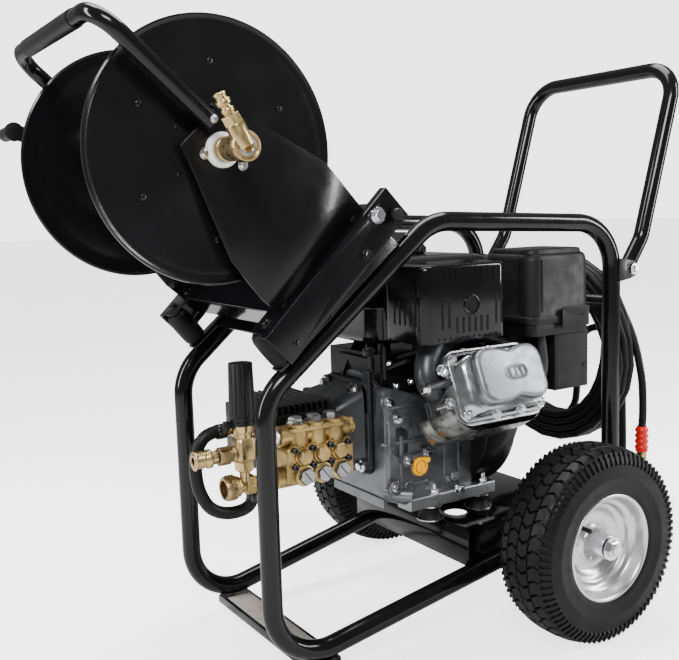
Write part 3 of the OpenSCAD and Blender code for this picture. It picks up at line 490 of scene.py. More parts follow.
def hose_route():
    """From one end up to the coil, round every turn of it, and down to the other end."""
    route = smooth_path([at(*p) for p in TAIL_A], 3)
    step = 15
    last_turn = 219
    total = 360 * (len(SLOTS) - 1) + last_turn
    for swept in range(step, total, step):
        turn, part = divmod(swept, 360)
        here = SLOTS[turn]
        after = SLOTS[min(turn + 1, len(SLOTS) - 1)]
        t = min(max((part - 300) / 60, 0), 1)
        t = t * t * (3 - 2 * t)
        slot = (here[0] + (after[0] - here[0]) * t, here[1] + (after[1] - here[1]) * t)
        route.append(coil_point(slot, COIL_START - swept))
    return route + smooth_path([at(*p) for p in UNWOUND], 3)


def add_hose():
    route = hose_route()
    start = TAIL_A[0]
    piece = place("delivery_hose", Build().tube(route, HOSE_D / 2, 14), "hose", "frame",
                  ["hose_coil", "hose_tails"])
    for name, top in (("a", at(*start)), ("b", at(*UNWOUND[-1]))):
        sleeve = Build()
        profile = [(0, 2), (8.6, 2), (9.4, 0.5)]
        for k in range(4):
            base = -k * 11.0
            profile += [(10.4, base - 1.5), (12.4, base - 4), (12.6, base - 6.5), (10, base - 10.4)]
        profile += [(11.6, -44), (11.2, -46), (0, -46)]
        sleeve.lathe(top, Z, profile, 40)
        place(f"hose_sleeve_{name}", sleeve, "sleeve_red", "frame",
                              crease=60)
        end = Build()
        end.lathe(top, Z, [(0, -45), (9.4, -45), (9.4, -48), (8.2, -49), (8.2, -50)], 32)
        end.lathe(top, Z, [(0, -49), (10, -49), (10, -61), (9, -62), (0, -62)], 6)
        end.lathe(top, Z, [(6.6, -62), (6.6, -74), (5.6, -75), (5.6, -78), (6.8, -79), (6.8, -85),
                           (6, -86), (0, -86)], 32)
        place(f"hose_plug_{name}", end, "brass", "frame")
    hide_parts("hose_sleeves")
    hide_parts("hose_fittings")


add_hose()


# ---- frame ----

TUBE_D = 31.75
HANDLE_D = 28.0
CARRY_D = 24.0
FRONT_HALF, REAR_HALF, FRAME_LEN = 152.0, 184.0, 700.0
SPLAY = math.atan((REAR_HALF - FRONT_HALF) / FRAME_LEN)
LOOP = [(0, 26), (0, 450), (303, 701), (700, 685), (700, 166)]
DIAGONAL = math.atan((LOOP[2][1] - LOOP[1][1]) / LOOP[2][0])
HINGE_D, HINGE_Z = 738, 601
PIVOT_D, PIVOT_Z = 176.8, 713.6


def loop_point(side, d, z):
    return at(d * math.cos(SPLAY), side * (FRONT_HALF + d * math.sin(SPLAY)), z)


def add_frame_loops():
    for side, name in ((-1, "left"), (1, "right")):
        path = rounded_path([loop_point(side, d, z) for d, z in LOOP], 85, closed=True, steps=14)
        place(f"{name}_frame_tube", Build().tube(path, TUBE_D / 2, 36, closed=True), "frame_black",
              "frame", [f"{name}_frame_loop"], crease=60)


add_frame_loops()


def add_push_handle():
    handle = Build()
    legs = [(HINGE_D, HINGE_Z), (778, 656), (872, 969)]
    corners = [at(d, -184, z) for d, z in legs] + [at(d, 184, z) for d, z in reversed(legs)]
    handle.tube(rounded_path(corners, 62, steps=14), HANDLE_D / 2, 36)
    for side in (-1, 1):
        handle.lathe(at(HINGE_D, side * 184 - 13.5, HINGE_Z), Y,
                     [(5.05, 0), (14.5, 0), (15.5, 1), (15.5, 26), (14.5, 27), (5.05, 27), (5.05, 0)], 36)
    place("fold_handle_tube", handle, "frame_black", "handle", ["push_handle"], crease=60)


add_push_handle()


def add_carry_handle():
    handle = Build()
    ends = [(-80, 843), (-232, 978)]
    corners = [at(d, -193, z) for d, z in ends] + [at(d, 193, z) for d, z in reversed(ends)]
    handle.tube(rounded_path(corners, 42, steps=14), CARRY_D / 2, 32)
    for side in (-1, 1):
        handle.lathe(at(-84, side * 184.5 - 4.5, 846), Y, [(0, 0), (6.6, 0), (7, 0.5), (7, 8.5), (6.6, 9),
                                                           (0, 9)], 32)
    place("carry_handle_tube", handle, "frame_black", "reel_frame", ["carry_handle"],
          crease=60)


add_carry_handle()


# ---- wheels ----

AXLE_D, AXLE_Z, TRACK = 521.0, 165.0, 298.0
ROW_BLOCKS, SHOULDER_BLOCKS = 42, 84


def wheel_point(side, angle, radius, t):
    """angle round the axle, radius and t (outwards) in mm."""
    return at(AXLE_D + radius * math.cos(angle), side * (TRACK + t), AXLE_Z + radius * math.sin(angle))


def crown(t):
    return 164.6 - 13.0 * abs(t / 50) ** 3


def tread_block(build, side, angle, t0, width, length, bow, height=7.0):
    steps = 5
    edge = [(-length / 2 + bow * math.cos(math.tau * k / steps), -width / 2 + width * k / steps)
            for k in range(steps + 1)]
    edge += [(length / 2 + bow * math.cos(math.tau * k / steps), -width / 2 + width * k / steps)
             for k in range(steps, -1, -1)]
    rings = []
    for grow, drop in ((1.08, height), (1.0, 0.8), (0.93, 0.0)):
        ring = []
        for s, t in edge:
            across = t0 + t * grow
            radius = crown(across) - drop
            ring.append(wheel_point(side, angle + s * grow / 160, radius, across))
        rings.append(ring)
    count = len(edge)
    faces = [[i * count + k, i * count + (k + 1) % count, (i + 1) * count + (k + 1) % count,
              (i + 1) * count + k] for i in range(2) for k in range(count)]
    faces.append([2 * count + k for k in range(count)])
    build.add([v for ring in rings for v in ring], faces)


def add_wheel(side, name):
    centre, out = at(AXLE_D, side * TRACK, AXLE_Z), Y * side
    body = [(82, 43), (86, 45), (90, 48), (95, 49), (99, 50.4), (101, 50.2), (104, 51), (116, 52.4),
            (118, 53), (120, 52.4), (134, 51.6), (145, 49), (151, 46), (155, 38), (157.5, 24), (158, 0)]
    profile = body + [(r, -h) for r, h in reversed(body[:-1])] + [(82, 43)]
    tyre = Build().lathe(centre, out, profile, 128)
    for row, t0 in enumerate((-33, -11, 11, 33)):
        for k in range(ROW_BLOCKS):
            angle = math.tau * (k + 0.5 * (row % 2)) / ROW_BLOCKS
            tread_block(tyre, side, angle, t0, 19.5, 19.5, 2.4 if row % 2 else -2.4)
    for k in range(SHOULDER_BLOCKS):
        for edge in (-1, 1):
            a = math.tau * k / SHOULDER_BLOCKS
            ring = []
            for da, radius, t in ((-0.018, 157, 43.5), (0.018, 157, 43.5), (0.03, 141, 52.5),
                                  (-0.002, 141, 52.5)):
                ring.append((a + da, radius, edge * t))
            low = [wheel_point(side, x, r - 5, t * 0.95) for x, r, t in ring]
            high = [wheel_point(side, x, r + (1.5 if r > 150 else 0), t + edge * 0.9) for x, r, t in ring]
            tyre.add(low + high, [[0, 1, 5, 4], [1, 2, 6, 5], [2, 3, 7, 6], [3, 0, 4, 7], [4, 5, 6, 7]])
    place(f"{name}_turf_tyre", tyre, "tyre", f"{name}_wheel", [f"{name}_tyre"], crease=42)
    rim = Build().lathe(centre, out, [(12.2, 44), (19, 44), (20, 43), (20, 12), (22, 8), (26, 5),
                                      (34, 3.2), (46, 3), (50, 4.4), (54, 7), (57.5, 11), (59, 13.4),
                                      (63, 14.2), (66, 15.4), (67.6, 18), (68.6, 22.5), (70.4, 25),
                                      (75, 26.2), (77.6, 28), (78.8, 31), (80.6, 37), (81.5, 42), (83, 46),
                                      (86, 48.8), (88.6, 48.4), (90, 46.6), (89.6, 44.6), (87.2, 43.6),
                                      (84.6, 41.5), (82.6, 36), (82.6, -36), (84.6, -41.5), (87.2, -43.6),
                                      (89.6, -44.6), (90, -46.6), (88.6, -48.4), (86, -48.8), (83, -46),
                                      (81, -40), (79.5, -30), (78, -8), (72, -1), (58, 0), (34, 0.2),
                                      (24, -1), (20, -5), (20, -43), (19, -44), (12.2, -44), (12.2, 44)],
                        96)
    for k in range(8):
        a = math.tau * k / 8
        rim.lathe(wheel_point(side, a, 30, 3.4), out, [(0, 0), (3.4, 0), (3.0, 1.2), (0, 1.4)], 16)
    place(f"{name}_pressed_rim", rim, "rim_silver", f"{name}_wheel", [f"{name}_rim"],
          crease=50)
    bearing = Build().lathe(centre, out, [(10.6, 43.5), (17.5, 43.5), (17.5, 46.4), (15.5, 47.2), (13, 46.2),
                                          (12.4, 47.4), (10.6, 47.4), (10.6, 43.5)], 40)
    place(f"{name}_hub_bearing", bearing, "black_oxide", f"{name}_wheel")
    stem_at = wheel_point(side, math.radians(140), 66, 8)
    lean = (out + (centre - stem_at).normalized() * 0.28).normalized()
    stem = Build().lathe(stem_at, lean, [(0, 0), (7.5, 0), (7, 3), (5, 6), (4.2, 20), (3.4, 22), (3.4, 30),
                                         (4, 30.5), (4, 36), (3, 37.5), (0, 37.5)], 24)
    place(f"{name}_valve_stem", stem, "mount_rubber", f"{name}_wheel")


add_wheel(-1, "left")
add_wheel(1, "right")


def add_axle_nuts():
    """Hub nuts, handle bolts and rail bolts in plated steel."""
    nuts = Build()
    for side in (-1, 1):
        out = Y * side
        end = at(AXLE_D, side * (TRACK + 48.6), AXLE_Z)
        nuts.lathe(end, out, [(10.2, 0), (19, 0), (19.4, 0.6), (19, 1.8), (10.2, 1.8), (10.2, 0)], 40)
        nuts.lathe(end, out, [(9.6, 2), (14.5, 2), (14.5, 7.2), (13, 8.4), (9.6, 8.4), (9.6, 2)], 6, 0.3)
        nuts.lathe(end, out, [(8, 3), (9.4, 3), (9.4, 12), (8.4, 13), (0, 13)], 32)
        pivot = at(PIVOT_D, side * 200, PIVOT_Z)
        nuts.hex_bolt(pivot, out, 17, 7.5, 12.5, 0.4)
        nuts.lathe(pivot, -out, rod(6, 42), 24)
        hinge = at(HINGE_D, side * 203.2, HINGE_Z)
        nuts.hex_bolt(hinge, out, 13, 5.5, 10, 0.2)
        nuts.lathe(hinge, -out, rod(5, 38), 24)
        for d in (355, 465):
            nuts.hex_bolt(at(d, side * 96, 228), Z, 13, 6.5, 10.5, 0.5)
            nuts.lathe(at(d, side * 96, 234), Z, [(0, 0), (4, 0), (4, 10), (3.2, 11), (0, 11)], 20)
    place("plated_fasteners", nuts, "chrome_bolt", "frame", ["frame_bolts"], crease=30)


add_axle_nuts()


# ---- engine ----

SHAFT_Z = 346
MOUNT_D = (355, 465)
FILLER_D, FILLER_Z = 320, 283
LEAN = math.radians(23)
CYL = at(394, 0, SHAFT_Z)
CYL_N = Vector((0, -math.cos(LEAN), math.sin(LEAN)))
CYL_V = Vector((0, math.sin(LEAN), math.cos(LEAN)))


def on_cylinder(u, v, n):
    """u along the crank, v up the head and n out along the cylinder, in mm."""
    return CYL + (X * u + CYL_V * v + CYL_N * n) * MM


def head_rings(sections):
    """Rounded rectangles (w, h, r, n, du, dv) across the cylinder's axis."""
    rings = []
    for w, h, r, n, du, dv in sections:
        rings.append([on_cylinder(u + du, v + dv, n) for u, v in rounded_rect(w, h, r)])
    return rings


def ring_points(w, h, r, waist, n, du, dv, spread=10):
    """A rounded rectangle pulled in at the middle of its long sides."""
    top = [(w / 2 - r - (w - 2 * r) * k / spread, h / 2) for k in range(1, spread)]
    low = [(-w / 2 + r + (w - 2 * r) * k / spread, -h / 2) for k in range(1, spread)]
    rect = rounded_rect(w, h, r, 6)
    quarter = len(rect) // 4
    outline = rect[:quarter] + top + rect[quarter:3 * quarter] + low + rect[3 * quarter:]
    out = []
    for u, v in outline:
        pull = waist * math.exp(-((u - 4) / 16) ** 2) * (1 if v > 0 else -1)
        out.append(on_cylinder(u + du, v - pull + dv, n))
    return out


def add_cylinder():
    fins = Build()
    for i in range(9):
        n = 102 + 9.2 * i
        w, h, r = (112, 112, 16) if i < 4 else (150, 116, 20)
        loft(fins, head_rings([(w - 2, h - 2, r, n, 0, 0), (w, h, r, n + 0.8, 0, 0), (w, h, r, n + 2.2, 0, 0),
                               (w - 2, h - 2, r, n + 3, 0, 0)]))
    fins.lathe(on_cylinder(0, 0, 60), CYL_N, rod(47, 132), 48)
    loft(fins, head_rings([(180, 120, 26, 184, 0, 0), (184, 124, 28, 188, 0, 0), (184, 124, 28, 206, 0, 0),
                           (180, 120, 26, 208, 0, 0)]))
    loft(fins, head_rings([(172, 112, 22, 208, 0, 0), (172, 112, 22, 214, 0, 0)]))
    loft(fins, head_rings([(182, 122, 24, 214, 0, 0), (184, 124, 26, 216, 0, 0), (184, 124, 26, 227, 0, 0)]))
    place("finned_cylinder", fins, "cast_silver", "frame", ["engine_cylinder"])
    shroud = Build()
    path = [(u, v - 6) for u, v in rounded_rect(194, 138, 42, 8) if v < 10]
    path.sort(key=lambda p: math.atan2(p[0], -(p[1] - 20)))
    rings = []
    for n, k in ((118, 0.97), (122, 1.0), (150, 1.0), (153, 0.98), (160, 0.98), (163, 1.0), (196, 1.0),
                 (212, 0.965), (224, 0.95)):
        outer = [on_cylinder(u * k, v * k, n) for u, v in path]
        inner = [on_cylinder(u * 0.96, v * 0.95, n) for u, v in reversed(path)]
        rings.append(outer + inner)
    loft(shroud, rings)
    place("cylinder_baffle", shroud, "baffle", "frame", crease=40)
    cover = Build()
    loft(cover, head_rings([(174, 112, 16, 228, 0, 0), (178, 116, 18, 229.5, 0, 0), (178, 116, 18, 233, 0, 0),
                            (174, 112, 17, 235, 0, 0)]))
    loft(cover, head_rings([(164, 104, 22, 234, 1, 0), (158, 99, 24, 244, 3, 1), (150, 94, 26, 252, 5, 2)]))
    place("valve_cover_flange", cover, "cover_bright", "frame", ["valve_cover"], crease=50)
    block = Build()
    sections = [(140, 92, 24, 7, 248, 9, 5), (140, 92, 24, 7, 262, 9, 6), (138, 90, 24, 7, 266, 9, 6),
                (132, 85, 22, 7, 268.4, 9, 6), (120, 74, 20, 6, 269, 9, 6)]
    loft(block, [ring_points(*s) for s in sections])
    place("valve_cover_block", block, "cover_satin", "frame", crease=60)
    pad = Build()
    rings = []
    for scale_w, n in ((1.0, 268.8), (0.97, 270.2), (0.88, 270.2), (0.84, 269.2)):
        rings.append([on_cylinder(u * scale_w + 16, v * scale_w + 6, n) for u,
                      v in rounded_rect(50, 26, 13, 10)])
    loft(pad, rings)
    for k in (-12, 0, 12):
        loft(pad, [[on_cylinder(u + 16 + k, v + 6, n) for u, v in rounded_rect(w, h, r, 4)]
                   for w, h, r, n in ((6, 14, 2.5, 269.1), (5.4, 13.4, 2.5, 270.4), (4, 12, 1.9, 270.8))])
    place("valve_cover_pad", pad, "cover_satin", "frame", crease=60)
    bolts = Build()
    for u, v in ((-78, -47), (-20, -52), (34, -52), (78, -46), (80, 46), (-80, 46), (0, 53)):
        bolts.hex_bolt(on_cylinder(u, v, 235), CYL_N, 10, 6.5, 8.5, 0.3)
    for u, v in ((-96, -20), (-96, 34), (92, -34)):
        bolts.hex_bolt(on_cylinder(u, v, 222), CYL_N, 12, 8, 9.5, 0.1)
        bolts.lathe(on_cylinder(u, v, 190), CYL_N, rod(5, 32), 20)
    place("head_bolts", bolts, "chrome_bolt", "frame", crease=30)


add_cylinder()


def add_crankcase():
    case = Build()
    low = [(252, 238), (262, 228), (300, 214), (436, 214), (440, 222), (440, 330), (432, 352), (400, 384),
           (330, 404), (268, 424), (252, 420)]
    loft(case, [[at(d, y, z + (SHAFT_Z - z) * f) for d, z in low]
                for y, f in ((88, 0.06), (84, 0), (-84, 0), (-92, 0.02), (-95, 0.07))])
    case.lathe(at(258, 0, SHAFT_Z), X, [(0, 0), (98, 0), (100, 2), (100, 14), (96, 16), (0, 16)], 64)
    feet = Build()
    for s in (-1, 1):
        loft(feet, [yz_ring(d, s * 84, 217, 40, 22, 3, 3) for d in (298, 488)])
        for d in (308, 400, 480):
            loft(feet, [[at(d, s * 84 + p[0] * k, 226 + n) for p in rounded_rect(30, 20, 4, 3)]
                        for n, k in ((0, 1.0), (6, 0.9))])
    place("engine_feet", feet, "cast_foot", "frame", bevel=1.2)
    for d, z, w, h in ((262, 320, 9, 96), (286, 300, 8, 80), (352, 330, 7, 60), (380, 300, 7, 90),
                       (412, 290, 8, 110)):
        pad(case, d, -92, z, w, h, 3.5, ((0, 1.15), (5, 1.0), (6, 0.9)))
    for z, w in ((392, 60), (372, 52), (330, 90), (252, 90)):
        pad(case, 296, -92, z, w, 6, 2.8, ((0, 1.1), (4.5, 1.0), (5.5, 0.9)))
    for d, z, r, n in ((262, 402, 11, 10), (276, 372, 10, 13), (300, 344, 15, 6), (290, 300, 11, 22),
                       (320, 283, 17, 9), (334, 306, 10, 16), (268, 254, 13, 14), (300, 250, 10, 9),
                       (400, 250, 10, 8), (424, 330, 11, 9)):
        case.lathe(at(d, -90, z), -Y, [(0, 0), (r + 2, 0), (r, 3), (r, n - 1), (r - 1, n), (r * 0.5, n),
                                       (r * 0.5, n - 2), (0, n - 2)], 28)
    case.tube([at(300, -96, 300), at(352, -98, 305)], 5.5, 16)
    case.tube([at(262, -80, 240), at(300, -104, 236)], 11, 20)
    for d in (258, 340, 420):
        case.box(at(d, -80, 214), at(d + 7, 80, 230))
    place("engine_block", case, "cast_grey", "frame", ["engine_crankcase"], bevel=0.8,
          crease=32)
    # Painted shade: a darker pad, slightly proud of the case, stands in for the shade of a recess there.
    shade_patch = Build()
    pad(shade_patch, 284, -95.5, 330, 34, 52, 16, ((0, 1.0), (0.7, 0.95)), 6)
    place("case_shade_patch", shade_patch, "gear_grey", "frame")
    bolts = Build()
    for d, z, n in ((262, 402, 100), (276, 372, 103), (290, 300, 112), (334, 306, 106), (268, 254, 104),
                    (400, 250, 98), (424, 330, 99)):
        bolts.hex_bolt(at(d, -n, z), -Y, 9, 5.5, 7.2, 0.4)
    bolts.hex_bolt(at(404, -104, 228), -Y, 13, 8, 10, 0.2)
    place("case_bolts", bolts, "chrome_bolt", "frame", crease=30)
    cap = Build()
    cap.lathe(at(FILLER_D, -98, FILLER_Z), -Y, [(0, -6), (13, -6), (13, 0), (15, 0), (15.6, 1),
                                                (15.6, 5.5), (14, 7.5), (12, 7.8), (11, 6.4), (0, 6.4)], 40)
    for k in range(24):
        a = math.tau * k / 24
        cap.lathe(at(FILLER_D + 15.2 * math.cos(a), -99, FILLER_Z + 15.2 * math.sin(a)), -Y, rod(1.3, 5), 6)
    pad(cap, FILLER_D, -104, FILLER_Z, 5, 20, 2.3, ((0, 1.1), (8, 1.0), (10, 0.8)))
    pad(cap, FILLER_D + 12, -104, FILLER_Z + 11, 13, 9, 4, ((0, 1.0), (4, 1.0), (5, 0.85)))
    # Painted shade: a dark ring laid in the cap's groove stands in for the shade there.
    groove = Build().lathe(at(FILLER_D, -98, FILLER_Z), -Y, [(9.4, 6.2), (11.2, 6.2), (11.2, 6.8),
                                                             (9.4, 6.8), (9.4, 6.2)], 40)
    place("oil_cap_groove_shade", groove, "oil_groove_shade", "oil_cap")
    place("oil_filler_cap", cap, "oil_yellow", "oil_cap", ["oil_cap"])
    mounts = Build()
    for d in MOUNT_D:
        for s in (-1, 1):
            mounts.lathe(at(d, s * 82, 180), Z, [(0, 0), (22, 0), (23, 2), (21, 6), (18, 12), (19, 18),
                                                 (21, 22), (20, 25.6), (0, 25.6)], 40)
    for s in (-1, 1):
        along, up = incline(DIAGONAL)
        base = at(0, s * 158, 450) + along * 62 * MM + up * 21.3 * MM
        mounts.lathe(base, up, [(0, 0), (14, 0), (17, 3), (19, 9), (19.5, 22), (19.5, 40), (19, 53),
                                (17, 59), (14, 62), (0, 62)], 40)
    place("rubber_isolators", mounts, "mount_rubber", "frame", ["rubber_mounts"])
    plates = Build()
    for d in MOUNT_D:
        for s in (-1, 1):
            plates.lathe(at(d, s * 82, 180), Z, rod(25, 1.6), 40)
            plates.lathe(at(d, s * 82, 203.6), Z, rod(22.5, 1.8), 40)
    place("isolator_washers", plates, "zinc", "frame")


add_crankcase()


def add_adapter():
    gear = Build()
    loft(gear, [yz_ring(190, 40, 348, 150, 98, 22), yz_ring(200, 36, 349, 148, 104, 22),
                yz_ring(238, 8, 352, 122, 142, 22), yz_ring(242, 6, 352, 124, 148, 22)])
    loft(gear, [yz_ring(240, 6, 352, 138, 160, 20), yz_ring(241, 6, 352, 140, 162, 20),
                yz_ring(249, 6, 352, 140, 162, 20)])
    for z in (312, 326, 340):
        gear.prism([(0, 0), (40, -6), (40, 0), (0, 6)], at(204, -36, z), X, Z, 4)
    for d, y, z in ((240, 59, 419), (240, -32, 419), (240, -52, 288), (240, 62, 288)):
        gear.lathe(at(d, y, z), -X, [(0, -8), (14, -8), (13, 0), (13, 6), (11, 7), (0, 7)], 28)
    gear.lathe(at(214, 90, 398), Z, [(0, 0), (9, 0), (9, 6), (7, 8), (0, 8)], 24)
    gear.box(at(240, -70, 380), at(244, -50, 454))
    place("gear_housing", gear, "gear_grey", "frame", ["reducer_housing"], bevel=0.8,
          crease=30)
    gasket = Build()
    loft(gasket, [yz_ring(249, 6, 352, 143, 165, 20), yz_ring(252.4, 6, 352, 143, 165, 20)])
    place("flange_gasket", gasket, "mount_rubber", "frame")
    bolts = Build()
    for y, z in ((59, 419), (-32, 419), (-52, 288), (62, 288)):
        bolts.hex_bolt(at(233, y, z), -X, 13, 7, 10.5, 0.2)
    for y in (20, 60):
        bolts.lathe(at(216, y, 398.6), Z, rod(3, 1.5), 16)
    place("adapter_bolts", bolts, "chrome_bolt", "frame", crease=30)


add_adapter()


def add_engine_extras():
    pipe = Build()
    route = smooth_path([at(322, -150, 514), at(308, -156, 498), at(292, -164, 476), at(285, -171, 454),
                         at(290, -175, 436), at(308, -174, 427)], 6)
    pipe.tube(route, 20, 32)
    pipe.lathe(at(304, -174, 428), Vector((1, 0, -0.3)), [(0, -4), (25, -4), (26, -3), (26, 3), (25, 4),
                                                          (0, 4)], 40)
    pipe.tube([at(258, -206, 442), at(306, -202, 446)], 6, 20)
    place("exhaust_elbow", pipe, "exhaust", "frame", bevel=0.5)
    stud = Build()
    stud.hex_bolt(at(258, -206, 442), -X, 13, 9, 10, 0.2)
    stud.hex_bolt(at(300, -196, 462), -Y, 10, 6, 8, 0.2)
    stud.hex_bolt(at(352, -180, 484), -Y, 12, 8, 10, 0.5)
    place("exhaust_bolts", stud, "chrome_bolt", "frame", crease=30)
    carb = Build()
    carb.box(at(330, -120, 452), at(420, -70, 500))
    carb.box(at(440, -150, 446), at(480, -90, 494))
    carb.lathe(at(400, -128, 470), X, [(0, 0), (19, 0), (19, 60), (24, 60), (24, 66), (0, 66)], 32)
    carb.lathe(at(455, -128, 430), Z, [(0, 0), (22, 0), (24, 4), (24, 26), (0, 26)], 32)
    place("carburettor", carb, "cast_dark", "frame", bevel=2.0)
    tubes = Build()
    tubes.tube(smooth_path([at(522, -184, 502), at(524, -188, 470), at(522, -192, 446), at(508, -198, 428),
                            at(474, -200, 424)], 6), 8, 20)
    tubes.tube(smooth_path([at(420, -110, 500), at(446, -160, 492), at(480, -166, 478),
                            at(500, -150, 452)], 6), 5, 16)
    tubes.tube(smooth_path([at(300, -70, 470), at(330, -110, 486), at(380, -130, 494), at(430, -120, 498)],
                           6), 3.2, 12)
    place("breather_tube", tubes, "breather", "frame")
    guard = Build()
    loft(guard, [xy_ring(347, -144, z, w, h, 20, 10) for w, h,
                 z in ((176, 110, 508), (178, 112, 510), (178, 112, 624), (176.5, 110.5, 628.5),
                       (172, 106, 631.2), (166, 100, 632))])
    for i in range(10):
        rib_d = 301 + i * 12.6
        pad(guard, rib_d, -198.2, 614, 5, 26, 2.3, ((0, 1), (2.2, 1)))
        loft(guard, [xy_ring(rib_d, -153, 631 + n, 5, 78, 2.3, 4) for n in (0, 1.8)])
    for i in range(7):
        loft(guard, [yz_ring(259.6 - n, -186 + i * 11, 604, 5, 40, 2.3, 4) for n in (0, 2.2)])
    guard.lathe(at(356, -199, 566), -Y, [(13, 0), (17, 0), (17, 1.6), (15.5, 2.8), (13.4, 2.2), (13, 0)], 40)
    place("guard_shell", guard, "engine_black", "frame", ["muffler_guard"], crease=50)
    # Painted shade: near-black inlays laid on the solid guard stand in for the shade inside its slots, its
    # centre hole and its row of small holes.
    shade_slots = Build()
    for x, z, tall in [(296, 556, 50), (310, 556, 50), (408, 556, 50), (420, 556, 50)] + [
            (326 + i * 12.6, 535, 26) for i in range(6)]:
        pad(shade_slots, x, -199.6, z, 4.4, tall, 2, ((0, 1), (0.7, 1)))
    for i in range(5):
        loft(shade_slots, [yz_ring(259 - n, -180 + i * 14, 556, 4.4, 40, 2, 4) for n in (0, 1.4)])
    shade_slots.lathe(at(356, -199, 566), -Y, rod(13.2, 1.3), 32)
    for i in range(11):
        shade_slots.lathe(at(288 + i * 12, -199.5, 515), -Y, [(0, 0), (2.4, 0), (2.2, 0.9), (0, 0.9)], 16)
    place("guard_slot_shade", shade_slots, "slot_painted_shade", "frame", crease=40)
    cover = Build()
    loft(cover, [xy_ring(554, -141, z, w, h, r, 10) for w, h, r,
                 z in ((149, 129, 20, 520.6), (151, 131, 21, 522), (151, 131, 21, 531),
                       (149, 129, 20, 533), (147, 127, 24, 534), (146, 126, 26, 628), (143, 123, 26, 635),
                       (136, 116, 26, 638.4), (131, 111, 22, 638.6), (130, 110, 22, 643),
                       (126, 106, 20, 646), (120, 100, 18, 646.5))])
    for x, y, across in ((508, -204.3, Y), (480.7, -178, X)):
        side = X if across is Y else Y
        loft(cover, [[at(x, y, 586) + side * p[0] * MM + Z * p[1] * MM - across * n * MM
                      for p in rounded_rect(3.4, 88, 1.6, 3)] for n in (-0.6, 1.2)])
    place("filter_cover_shell", cover, "filter_plastic", "filter_cover",
          ["air_filter_cover"], crease=40)
    lower = Build()
    loft(lower, [xy_ring(585, -148, z, w, h, r, 6)
                 for w, h, r, z in ((74, 92, 8, 400.5), (80, 96, 9, 404), (82, 97, 9, 498))])
    lower.lathe(at(618, -196, 438), -Y, [(0, 0), (5, 0), (4.6, 1.4), (0, 1.6)], 20)
    place("filter_lower_box", lower, "filter_plastic", "frame", bevel=0.8)
    rear = Build()
    centre = at(508, 0, SHAFT_Z)
    rear.lathe(centre, X, [(0, 36), (44, 36), (46, 42), (60, 42.4), (64, 38), (100, 38), (104, 34),
                           (104, 0)], 96)
    for k in range(24):
        a = math.tau * k / 24
        p = centre + (Y * math.cos(a) + Z * math.sin(a)) * 82 * MM + X * 38 * MM
        rear.lathe(p, X, [(0, 0), (5, 0), (4.4, 2.2), (0, 2.4)], 12)
    place("recoil_cover", rear, "engine_satin", "frame", crease=40)


add_engine_extras()


# ---- pump ----

PLUNGERS = (91, 124, 157)
SCREW_D, SCREW_Z = (74.5, 107.5, 140.5, 173.5), (352, 325)
INLET_Y, INLET_Z, GALLERY_Z = -80, 306, 372
UNLOADER_D, UNLOADER_Y, OUTLET_Z, BYPASS_Y = -5, -88, 360, -56


def thread_profile(radius, start, end, pitch, depth=0.8):
    out = []
    h = start
    while h < end - pitch / 2:
        out += [(radius - depth, h), (radius, h + pitch * 0.35), (radius, h + pitch * 0.6)]
        h += pitch
    return out + [(radius - depth, end)]


